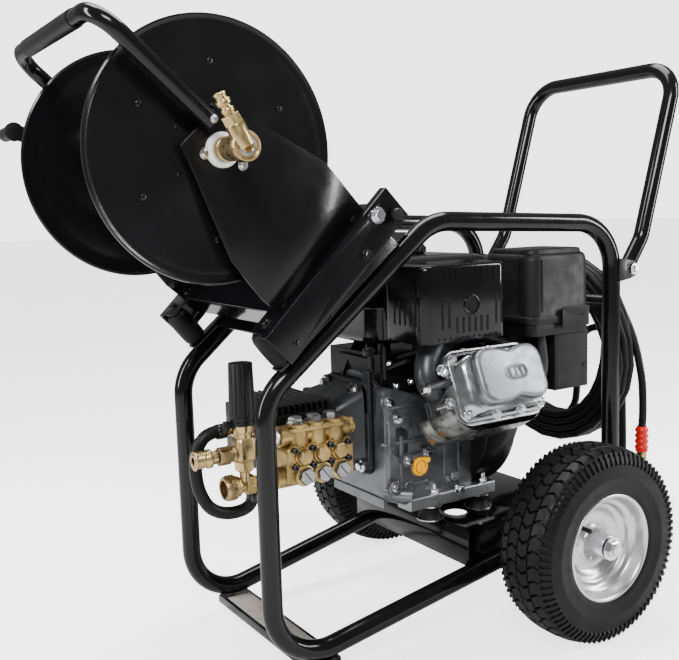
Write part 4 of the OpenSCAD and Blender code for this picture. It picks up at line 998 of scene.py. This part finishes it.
def add_manifold():
    body = Build()
    loft(body, [xz_ring(-45.4, 124, 326, 124, 60, 8), xz_ring(-99, 124, 326, 124, 60, 8),
                xz_ring(-102, 124, 326, 120, 56, 8)])
    body.lathe(at(58, INLET_Y, GALLERY_Z), X, [(0, 0), (15.5, 0), (17, 1.5), (17, 124), (15.5, 126),
                                               (0, 126)], 40)
    body.lathe(at(50, INLET_Y, INLET_Z), X, [(0, 0), (15, 0), (17, 2), (17, 134), (15, 136), (0, 136)], 40)
    for x in PLUNGERS:
        body.lathe(at(x, -86, 346), Z, [(0, 0), (14.5, 0), (17, 4), (17.2, 26), (16, 34), (15.6, 38),
                                        (17, 39.5), (17.4, 42), (17, 45), (0, 45)], 40)
        body.lathe(at(x, -100, 310), -Y, [(0, -6), (17.8, -6), (17.6, 6), (16.6, 8.5), (14.2, 9.4),
                                          (0, 9.4)], 40)
        body.lathe(at(x, -100, 340), -Y, [(0, -6), (15.6, -6), (15.2, 4.5), (14, 6), (0, 6)], 40)
        body.lathe(at(x, -104, 340), -Y, [(0, 0), (13.4, 0), (13.4, 7.5)], 6, 0.4)
        body.lathe(at(x, -104, 340), -Y, [(13.4, 7.5), (11.8, 9.6), (0, 9.6)], 6, 0.4)
        body.lathe(at(x, -113.4, 340), -Y, [(0, 0), (10.4, 0), (9.8, 0.9), (0, 1.1)], 32)
    loft(body, [xy_ring(124, -83, z, w, h, 14, 8)
                for w, h, z in ((104, 34, 378), (108, 38, 380), (108, 38, 385), (104, 34, 387))])
    for x in SCREW_D:
        for z in SCREW_Z:
            body.lathe(at(x, -100, z), -Y, [(0, -4), (7.6, -4), (7.2, 3), (0, 3)], 24)
    body.lathe(at(184, INLET_Y, GALLERY_Z), X, [(0, 0), (14, 0), (14, 3), (11.5, 4), (11.5, 6), (13.6, 7),
                                                (13.6, 11.5), (12, 13), (0, 13)], 32)
    body.lathe(at(24, INLET_Y, INLET_Z), X, [(0, 0)] + thread_profile(14, 0, 28, 2.4) + [(0, 28)], 40)
    body.lathe(at(-18.3, INLET_Y, INLET_Z), X, [(9.1, 0), (12, 0.6), (12, 4), (10, 5), (10, 14), (14, 15),
                                                (14.6, 16), (14.6, 26), (13.4, 27), (11, 28), (11, 44),
                                                (0, 44)], 36)
    body.lathe(at(0, INLET_Y, INLET_Z), X, rod(16, 13), 6, 0.3)
    body.lathe(at(24, BYPASS_Y, 284), Z, [(0, 5), (11, 5), (11, 24), (0, 24)], 24)
    place("forged_manifold", body, "forged_brass", "frame", ["pump_manifold"],
          bevel=0.5, crease=32)
    caps = Build()
    for i, x in enumerate(PLUNGERS):
        caps.lathe(at(x, -80, 391), Z, rod(14.6, 1.6), 36)
        caps.lathe(at(x, -80, 392.6), Z, [(0, 0), (12.6, 0), (12.6, 5.4)], 6, 0.2 + 0.3 * i)
        caps.lathe(at(x, -80, 392.6), Z, [(12.6, 5.4), (11, 7.2), (0, 7.2)], 6, 0.2 + 0.3 * i)
        turn = 0.5 + 0.45 * i
        caps.lathe(at(x, -109.4, 310), -Y, [(0, 0), (14.6, 0), (14.6, 5.6)], 6, turn)
        caps.lathe(at(x, -109.4, 310), -Y, [(14.6, 5.6), (13.0, 7.8), (0, 7.8)], 6, turn)
    place("cylinder_plugs", caps, "plated_cap", "frame", ["valve_caps"], crease=28)
    # Painted shade: thin black strips laid on the plug faces stand in for the shade in their screwdriver
    # slots.
    shade_slots = Build()
    for i, x in enumerate(PLUNGERS):
        a = math.radians(-52)
        u = X * math.cos(a) + Z * math.sin(a)
        w = -X * math.sin(a) + Z * math.cos(a)
        shade_slots.prism([(-11, -0.9), (11, -0.9), (11, 0.9), (-11, 0.9)], at(x, -117.2, 310), u, w, 0.4)
    place("plug_slot_shade", shade_slots, "black_oxide", "frame")
    screws = Build()
    for x in SCREW_D:
        for z in SCREW_Z:
            screws.socket_bolt(at(x, -102.6, z), -Y, 5.2, 7.5)
    place("head_screws", screws, "black_oxide", "frame", ["manifold_bolts"], crease=30)
    ring = Build().lathe(at(45, INLET_Y, GALLERY_Z), X, [(0, 0), (14.2, 0), (15, 1), (15, 9), (14.2, 10),
                                                         (9, 10), (9, 13), (0, 13)], 36)
    place("gallery_union", ring, "white_zinc", "frame")


add_manifold()


def add_unloader():
    body = Build()
    x, y = UNLOADER_D, UNLOADER_Y
    body.lathe(at(x, y, 330), Z, [(0, 0), (10, 0), (12, 2), (12, 8), (13.6, 10), (13.6, 60), (16, 64),
                                  (16.6, 66), (16.6, 75), (15, 77), (0, 77)], 44)
    body.lathe(at(x, y, 334), Z, rod(16.4, 13), 6, 0.25)
    loft(body, [xy_ring(x, y, z, w, w, 7, 5) for w, z in ((27, 348), (31, 351), (31, 380), (27, 384))])
    body.lathe(at(x, y, GALLERY_Z), X, [(0, 0), (12, 0), (12, 20), (14, 21), (14, 26), (12.6, 27),
                                        (12.6, 50), (0, 50)], 36)
    body.lathe(at(x + 20, y, GALLERY_Z), X, rod(16.5, 15), 6, 0.3)
    body.lathe(at(x - 12, y, OUTLET_Z), -X, [(0, 0), (13, 0), (13, 7), (11, 8), (11, 13), (0, 13)], 32)
    body.lathe(at(x, y + 10, 390), Y, [(0, 0), (11, 0), (11, 26), (9, 28), (0, 28)], 28)
    body.lathe(at(x - 12, BYPASS_Y, 390), -X, [(0, -8), (9, -8), (9, 3), (7, 4), (7, 9), (0, 9)], 24)
    body.lathe(at(x, y, 410), Z, rod(6, 62), 24)
    body.lathe(at(x, y, 314), Z, [(0, 0), (7, 0), (8, 1), (8, 16), (0, 16)], 24)
    place("unloader_valve", body, "brass", "frame", ["unloader_body"], bevel=0.4, crease=30)
    collar = Build()
    collar.lathe(at(x, y, 403), Z, [(0, 0), (17, 0), (19.5, 1.5), (19.5, 6.4), (18, 7.6), (7, 7.6),
                                    (7, 0)], 40)
    loft(collar, [xy_ring(x - 22, y, z, w, 11, 4, 4) for w, z in
                  ((16, 401), (18, 403), (18, 408), (16, 409.5))])
    collar.lathe(at(x - 28, y, 396), Z, [(0, 0), (4.5, 0), (5.5, 2), (5.5, 14), (4.5, 16), (0, 16)], 20)
    place("unloader_collar", collar, "knob", "frame", bevel=0.4)
    coupler = Build()
    coupler.lathe(at(-29, y, OUTLET_Z), -X, [(6.1, 0), (14.6, 0), (14.6, 20), (6.1, 20), (6.1, 0)], 6, 0.35)
    coupler.lathe(at(-51, y, OUTLET_Z), -X, [(6.1, 0), (10, 0), (10, 36), (9.4, 38.4), (6.1, 38.4),
                                             (6.1, 0)], 36)
    place("quick_coupler", coupler, "brass", "frame", ["outlet_coupler"], bevel=0.6, crease=30)
    sleeve = Build()
    outer = [(12.6, 0.6), (14, 0), (14.6, 1), (14.6, 6), (13.4, 7.4), (12.4, 8.4), (12.4, 12)]
    for k in range(5):
        outer += [(13.1, 12.6 + k * 2.2), (13.1, 13.6 + k * 2.2), (12.4, 14.4 + k * 2.2)]
    outer += [(13.6, 23.4), (14.8, 24.4), (14.8, 26.6), (13.4, 27.6), (10.1, 27.6), (10.1, 0.6), (12.6, 0.6)]
    sleeve.lathe(at(-61, y, OUTLET_Z), -X, outer, 44)
    place("knurled_sleeve", sleeve, "brass_turned", "coupler_sleeve", ["coupler_sleeve"],
          crease=40)
    nut = Build()
    nut.lathe(at(-12.4, INLET_Y, INLET_Z), -X, [(9.1, 0), (15.2, 0), (16, 1), (16, 5), (18, 6.4),
                                                (18.4, 8), (18.4, 23), (17.4, 25.6), (13.3, 25.6),
                                                (13.3, 9.6), (9.1, 9.6), (9.1, 0)], 56)
    for k in range(14):
        a = math.tau * k / 14
        p = at(-20, INLET_Y, INLET_Z) + (Y * math.cos(a) + Z * math.sin(a)) * 18.1 * MM
        nut.lathe(p, -X, [(0, 0), (1.9, 0.6), (1.9, 14), (0, 15)], 8)
    place("swivel_nut", nut, "brass_turned", "inlet_nut", ["inlet_nut"], crease=35)
    bypass = Build().tube(smooth_path([at(-20, BYPASS_Y, 390), at(-36, BYPASS_Y, 391),
                                       at(-56, BYPASS_Y, 384), at(-69, BYPASS_Y, 364),
                                       at(-72, BYPASS_Y, 334), at(-67, BYPASS_Y, 302),
                                       at(-52, BYPASS_Y, 274), at(-28, BYPASS_Y, 260),
                                       at(0, BYPASS_Y, 258), at(18, BYPASS_Y, 266), at(24, BYPASS_Y, 286)],
                                      8), 10, 28)
    place("bypass_loop", bypass, "hose", "frame", ["bypass_hose"])
    ends = Build()
    ends.lathe(at(-20, BYPASS_Y, 390), -X, [(9.8, 0), (11.6, 0), (12, 1), (12, 14), (11.6, 15), (9.8, 15),
                                            (9.8, 0)], 28)
    ends.lathe(at(24, BYPASS_Y, 270), Z, [(9.8, 0), (11.6, 0), (12, 1), (12, 14), (11.6, 15), (9.8, 15),
                                          (9.8, 0)], 28)
    place("bypass_ferrules", ends, "black_oxide", "frame")
    cap = Build()
    cap.lathe(at(128, 40, 394), Z, [(0, 0), (13, 0), (13, 12), (11.5, 14), (0, 14)], 32)
    cap.lathe(at(128, 40, 408), Z, rod(7, 5), 6)
    for d, z in ((74, 306), (182, 306), (74, 388), (182, 388)):
        cap.socket_bolt(at(d, 124.5, z), Y, 5, 5)
    place("crankcase_breather", cap, "pump_black", "frame", bevel=0.4)
    sight = Build().lathe(at(66, 40, 346), -X, [(0, 0), (15, 0), (15, 3), (12, 4.5), (0, 4.5)], 36)
    place("oil_sight", sight, "brass", "frame")


add_unloader()


# ---- hose reel ----

REEL_D, REEL_Z = -63.0, 808.0
RAIL_ANGLE = math.radians(44.4)
REEL_AT = at(REEL_D, 0, REEL_Z)


def add_reel():
    for side, name in ((-1, "left"), (1, "right")):
        out = Y * side
        plate = Build()
        base = REEL_AT + out * 154 * MM
        plate.lathe(base, out, [(14.2, 3.5), (40, 3.5), (44, 3.2), (50, 1), (150, 1), (156, 1.2),
                                (162, 2.2), (168, 1.4), (176, 1.2), (178.5, 2.6), (181, 3.8), (183.4, 2.8),
                                (184, 0), (183.4, -2.8), (181, -3.8), (178.5, -2.8), (177, -1.4),
                                (168, -0.8), (162, 0.2), (156, -0.8), (50, -0.8), (44, 1), (40, 1.4),
                                (14.2, 1.4), (14.2, 3.5)], 144)
        place(f"{name}_flange_disc", plate, "sheet_black", "reel", [f"{name}_flange"],
              crease=30)
        studs = Build()
        for k in range(6):
            a = math.radians(30 + 60 * k)
            for reach, r in ((121, 5.0), (62, 3.4)):
                p = base + (X * math.cos(a) + Z * math.sin(a)) * reach * MM + out * 1.0 * MM
                studs.lathe(p, out, [(0, 0), (r, 0), (r * 0.95, 1.0), (r * 0.7, 2.0), (r * 0.3, 2.5),
                                     (0, 2.6)], 24)
        place(f"{name}_flange_studs", studs, "sheet_black", "reel")
        washer = Build()
        washer.lathe(REEL_AT + out * 179.6 * MM, out, [(14.1, -3), (22.5, -3), (24, 0.1), (24, 5),
                                                       (22.4, 6.6), (18.6, 7.4), (18.6, 9), (14.1, 9),
                                                       (14.1, -3)], 56)
        place(f"{name}_nylon_bearing", washer, "white_nylon", "reel_frame", crease=40)
        bolts = Build()
        for d, z in ((-88, 803), (-32, 788), (-42, 850)):
            bolts.hex_bolt(at(d, side * 179.5, z), out, 9, 5, 7.5, 0.3)
        bolts.hex_bolt(at(-84, side * 205.5, 846), out, 7, 3.5, 5.5, 0.3)
        place(f"{name}_plate_bolts", bolts, "chrome_bolt", "reel_frame", crease=30)
    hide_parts("reel_bushings")
    swivel = Build()
    start = REEL_AT - Y * 190 * MM
    swivel.lathe(start, -Y, [(14.2, 0), (16, 0), (17.4, 1.4), (17.4, 12), (15.6, 13), (15.6, 17), (17, 18),
                             (17, 46), (19, 49), (20.4, 51), (20.4, 66), (19.4, 68), (16.6, 68.4),
                             (16.2, 66.6), (13.6, 66.6), (13.2, 68.6), (9, 68.8), (8.4, 67.6), (5, 67.6),
                             (5, 62), (0, 62)], 48)
    o = at(REEL_D, -252, REEL_Z)
    branch = Vector((-0.47, 0, 0.88)).normalized()
    swivel.lathe(o, branch, [(0, 0), (13, 0), (13, 30), (12, 32), (0, 32)], 36)
    swivel.lathe(o + branch * 32 * MM, branch, rod(13.6, 12), 6, 0.4)
    swivel.lathe(o + branch * 44 * MM, branch, [(0, 0), (8, 0), (8, 3), (9.4, 4), (9.4, 8), (7.4, 9.4),
                                                (7.4, 13), (10.4, 14.4), (10.4, 20), (7.6, 21.4),
                                                (7.6, 25), (8.6, 26.4), (8.6, 29), (7.4, 30), (4, 30),
                                                (4, 24), (0, 24)], 36)
    place("reel_inlet_swivel", swivel, "brass", "swivel", ["reel_swivel"], bevel=0.5, crease=30)
    ring = Build().lathe(at(REEL_D, -258.4, REEL_Z), -Y, [(9.4, 0), (13.0, 0), (13.0, 0.9), (9.4, 0.9),
                                                          (9.4, 0)], 36)
    place("swivel_face_ring", ring, "steel", "swivel")
    grip = Build().lathe(at(-232, -118, 978), Y, [(12.1, 0), (13, 0), (13.3, 1.5), (13.3, 234.5), (13, 236),
                                                 (12.1, 236), (12.1, 0)], 36)
    place("carry_grip", grip, "grip", "reel_frame")
    ends = Build()
    for side in (-1, 1):
        along = Vector((-80 + 232, 0, 843 - 978)).normalized()
        p = at(-80, side * 193, 843)
        tabs = [p + along * a * MM + Vector((along.z, 0, -along.x)) * b * MM + Y * (side * -11 * MM)
                for a, b in ((-30, -11), (10, -11), (16, 0), (10, 11), (-30, 11))]
        ends.add(tabs + [t + Y * side * -1.6 * MM for t in tabs],
                 [[0, 1, 2, 3, 4], [9, 8, 7, 6, 5]] + [[i, (i + 1) % 5, 5 + (i + 1) % 5, 5 + i]
                                                       for i in range(5)])
    place("carry_handle_tabs", ends, "frame_black", "reel_frame")
    bolts = Build()
    along, up = incline(RAIL_ANGLE)
    for side in (-1, 1):
        for u in (24, 60, 230):
            p = at(-18, side * 172, 548) + along * u * MM + up * 0.2 * MM
            bolts.hex_bolt(p, up, 9, 4.5, 8, 0.3)
        for u in (30, 200):
            p = at(-18, side * 200, 548) + along * u * MM - up * 44 * MM
            bolts.hex_bolt(p, Y * side, 9, 4.5, 8, 0.3)
    place("rail_bolts", bolts, "black_oxide", "reel_frame", crease=30)


add_reel()


def add_rail_knobs():
    """The hand knobs beside the rail pivots."""
    knobs = Build()
    for side in (-1, 1):
        base = at(PIVOT_D + 28, side * 200.2, PIVOT_Z)
        knobs.lathe(base, Y * side, [(0, 0), (6, 0), (6, 3), (9.4, 4), (10, 6), (10, 13), (8.6, 15),
                                     (0, 15.4)], 24)
    place("rail_knobs", knobs, "grip", "reel_frame")


add_rail_knobs()


def add_frame_details():
    black = Build()
    black.box(at(268, -66, 404), at(432, 96, 478))
    black.box(at(262, -40, 402), at(280, 60, 470))
    black.prism([(0, 0), (26, 0), (60, 62), (36, 74)], at(244, 30, 424), X, Z, 3)
    for y in (-30, 10, 50):
        black.box(at(300, y, 470), at(316, y + 12, 492.4))
    black.tube(smooth_path([at(270, -70, 452), at(300, -96, 468), at(336, -104, 474), at(372, -100, 480)],
                           6), 4, 14)
    black.tube([at(257, -94, 440), at(257, -94, 496)], 3.5, 14)
    place("blower_housing", black, "engine_satin", "frame", bevel=1.5)
    screws = Build()
    for d, y, z in ((286, -66, 460), (330, -66, 424), (410, -66, 462), (300, -66, 420)):
        screws.hex_bolt(at(d, y, z), -Y, 8, 4.5, 6.5, 0.2)
    place("blower_screws", screws, "chrome_bolt", "frame", crease=30)
    strip = Build()
    centre_d, centre_z = 82, 28.3
    loft(strip, [[at(centre_d + u, v, z) for u, v in rounded_rect(w, h, 3, 3)]
                 for w, h, z in ((44, 284, centre_z - 0.6), (44, 284, centre_z), (42, 282, centre_z + 1.0))])
    place("foot_pad_strip", strip, "foot_pad", "frame")
    tank = Build()
    rings = []
    for w, h, r, z in ((262, 208, 40, 493), (280, 226, 42, 497), (286, 232, 44, 506), (286, 232, 44, 552),
                       (290, 236, 45, 554), (290, 236, 45, 560), (286, 232, 44, 562), (285, 231, 44, 600),
                       (280, 226, 42, 618), (266, 212, 38, 630), (230, 176, 30, 636), (120, 90, 20, 638)):
        rings.append(xy_ring(402, 48, z, w, h, r, 8))
    loft(tank, rings)
    tank.lathe(at(430, 70, 634), Z, [(0, 0), (33, 0), (32, 4), (30, 4.6), (0, 4.6)], 40)
    tank.box(at(446, -14, 485), at(502, 34, 497))
    place("petrol_tank", tank, "engine_black", "frame", ["fuel_tank"], crease=50)
    cap = Build()
    cap.lathe(at(430, 70, 639), Z, [(0, 0), (32, 0), (33.4, 1.5), (33.4, 12), (31, 15), (20, 16), (0, 16)],
              60)
    for k in range(20):
        a = math.tau * k / 20
        p = at(430 + 33.2 * math.cos(a), 70 + 33.2 * math.sin(a), 640)
        cap.lathe(p, Z, [(0, 0), (2.2, 0.5), (2.2, 10), (0, 11)], 8)
    cap.lathe(at(430, 70, 625), Z, rod(21, 14), 40)
    place("tank_cap", cap, "filter_plastic", "fuel_cap", ["fuel_cap"], crease=40)


add_frame_details()


# ---- CAD parts shown as they are, with rounded edges and a material ----

def dress(node, material, bevel=0.0, crease=35):
    """Gives a CAD node its material, and rounds its sharp edges a little."""
    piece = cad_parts[node]
    mesh = piece.data
    mesh.materials.clear()
    mesh.materials.append(M[material])
    weld = piece.modifiers.new("weld", "WELD")
    weld.merge_threshold = 1e-5
    if bevel:
        rounding = piece.modifiers.new("bevel", "BEVEL")
        rounding.width, rounding.segments, rounding.limit_method = bevel * MM, 2, "ANGLE"
        rounding.angle_limit = math.radians(crease)
    if mesh.has_custom_normals:
        bpy.context.view_layer.objects.active = piece
        piece.select_set(True)
        bpy.ops.mesh.customdata_custom_splitnormals_clear()
        piece.select_set(False)
    mesh.shade_smooth()
    mesh.set_sharp_from_angle(angle=math.radians(crease))


DRESS = {
    "cross_foot": ("frame_black", 0.8),
    "engine_deck": ("deck_black", 0.8),
    "axle": ("zinc", 0.6),
    "reel_platform": ("sheet_black", 0.8),
    "rear_crossbar": ("dark_steel", 0.6),
    "reel_base": ("frame_black", 0.8),
    "left_side_plate": ("sheet_black", 0.6),
    "right_side_plate": ("sheet_black", 0.6),
    "reel_drum": ("sheet_black", 0.5),
    "reel_crank": ("dark_steel", 0.8),
    "crank_grip": ("grip", 1.2),
    "engine_crankshaft": ("steel", 0.4),
    "flywheel": ("flywheel_iron", 0.8),
    "fan_shroud": ("engine_satin", 2.0),
    "recoil_grip": ("grip", 1.5),
    "air_filter_base": ("filter_plastic", 1.5),
    "air_filter_latch": ("filter_plastic", 0.6),
    "throttle_lever": ("dark_steel", 0.6),
    "reducer_gear": ("steel", 0.3),
    "pump_crankcase": ("pump_black", 0.8),
    "pump_crankshaft": ("steel", 0.5),
    "plunger_1": ("ceramic", 0.4),
    "plunger_2": ("ceramic", 0.4),
    "plunger_3": ("ceramic", 0.4),
    "unloader_knob": ("knob", 0.8),
}
for node, (material, bevel) in DRESS.items():
    dress(node, material, bevel)


# ---- studio ----

def studio():
    world = bpy.data.worlds.new("studio")
    world.use_nodes = True
    nodes, links = world.node_tree.nodes, world.node_tree.links
    seen = nodes.new("ShaderNodeLightPath").outputs["Is Camera Ray"]
    level = nodes.new("ShaderNodeMapRange")
    level.inputs["To Min"].default_value, level.inputs["To Max"].default_value = 0.3, 3.4
    links.new(seen, level.inputs["Value"])
    links.new(level.outputs["Result"], nodes["Background"].inputs["Strength"])
    nodes["Background"].inputs["Color"].default_value = (1, 1, 1, 1)
    bpy.context.scene.world = world
    for name, place_at, aim, size, power in (
            ("key", (-1.6, -2.2, 2.6), (0, 0, 0.4), (1.2, 0.8), 110),
            ("side_strip", (2.2, -1.6, 1.4), (0.2, 0, 0.4), (0.3, 2.0), 70),
            ("front_strip", (-2.4, 0.4, 1.5), (-0.2, 0, 0.5), (0.3, 2.0), 70),
            ("top", (0.2, 0.4, 3.0), (0.1, 0, 0.4), (2.4, 1.4), 130)):
        data = bpy.data.lights.new(name, "AREA")
        data.shape, data.size, data.size_y, data.energy = "RECTANGLE", size[0], size[1], power
        lamp = bpy.data.objects.new(name, data)
        lamp.location = place_at
        lamp.rotation_euler = (Vector(aim) - Vector(place_at)).to_track_quat("-Z", "Y").to_euler()
        bpy.context.scene.collection.objects.link(lamp)
    bpy.ops.mesh.primitive_plane_add(size=60, location=(0, 0, 0))
    floor = bpy.context.object
    floor.name = "floor"
    shade = Shader("floor", (0.82, 0.82, 0.82), roughness=0.6)
    shade.tint(shade.noise(1.5, 4), (0.8, 0.8, 0.8), 0.4, 0.7, 0.5)
    shade.bump(shade.noise(40, 3), 0.02, 0.0005)
    camera_ray = shade.nodes.new("ShaderNodeLightPath").outputs["Is Camera Ray"]
    shade.shader.inputs["Emission Color"].default_value = (1, 1, 1, 1)
    shade.links.new(shade.ramp(camera_ray, 0, 1, 0, 2.4), shade.shader.inputs["Emission Strength"])
    floor.data.materials.append(shade.material)


studio()
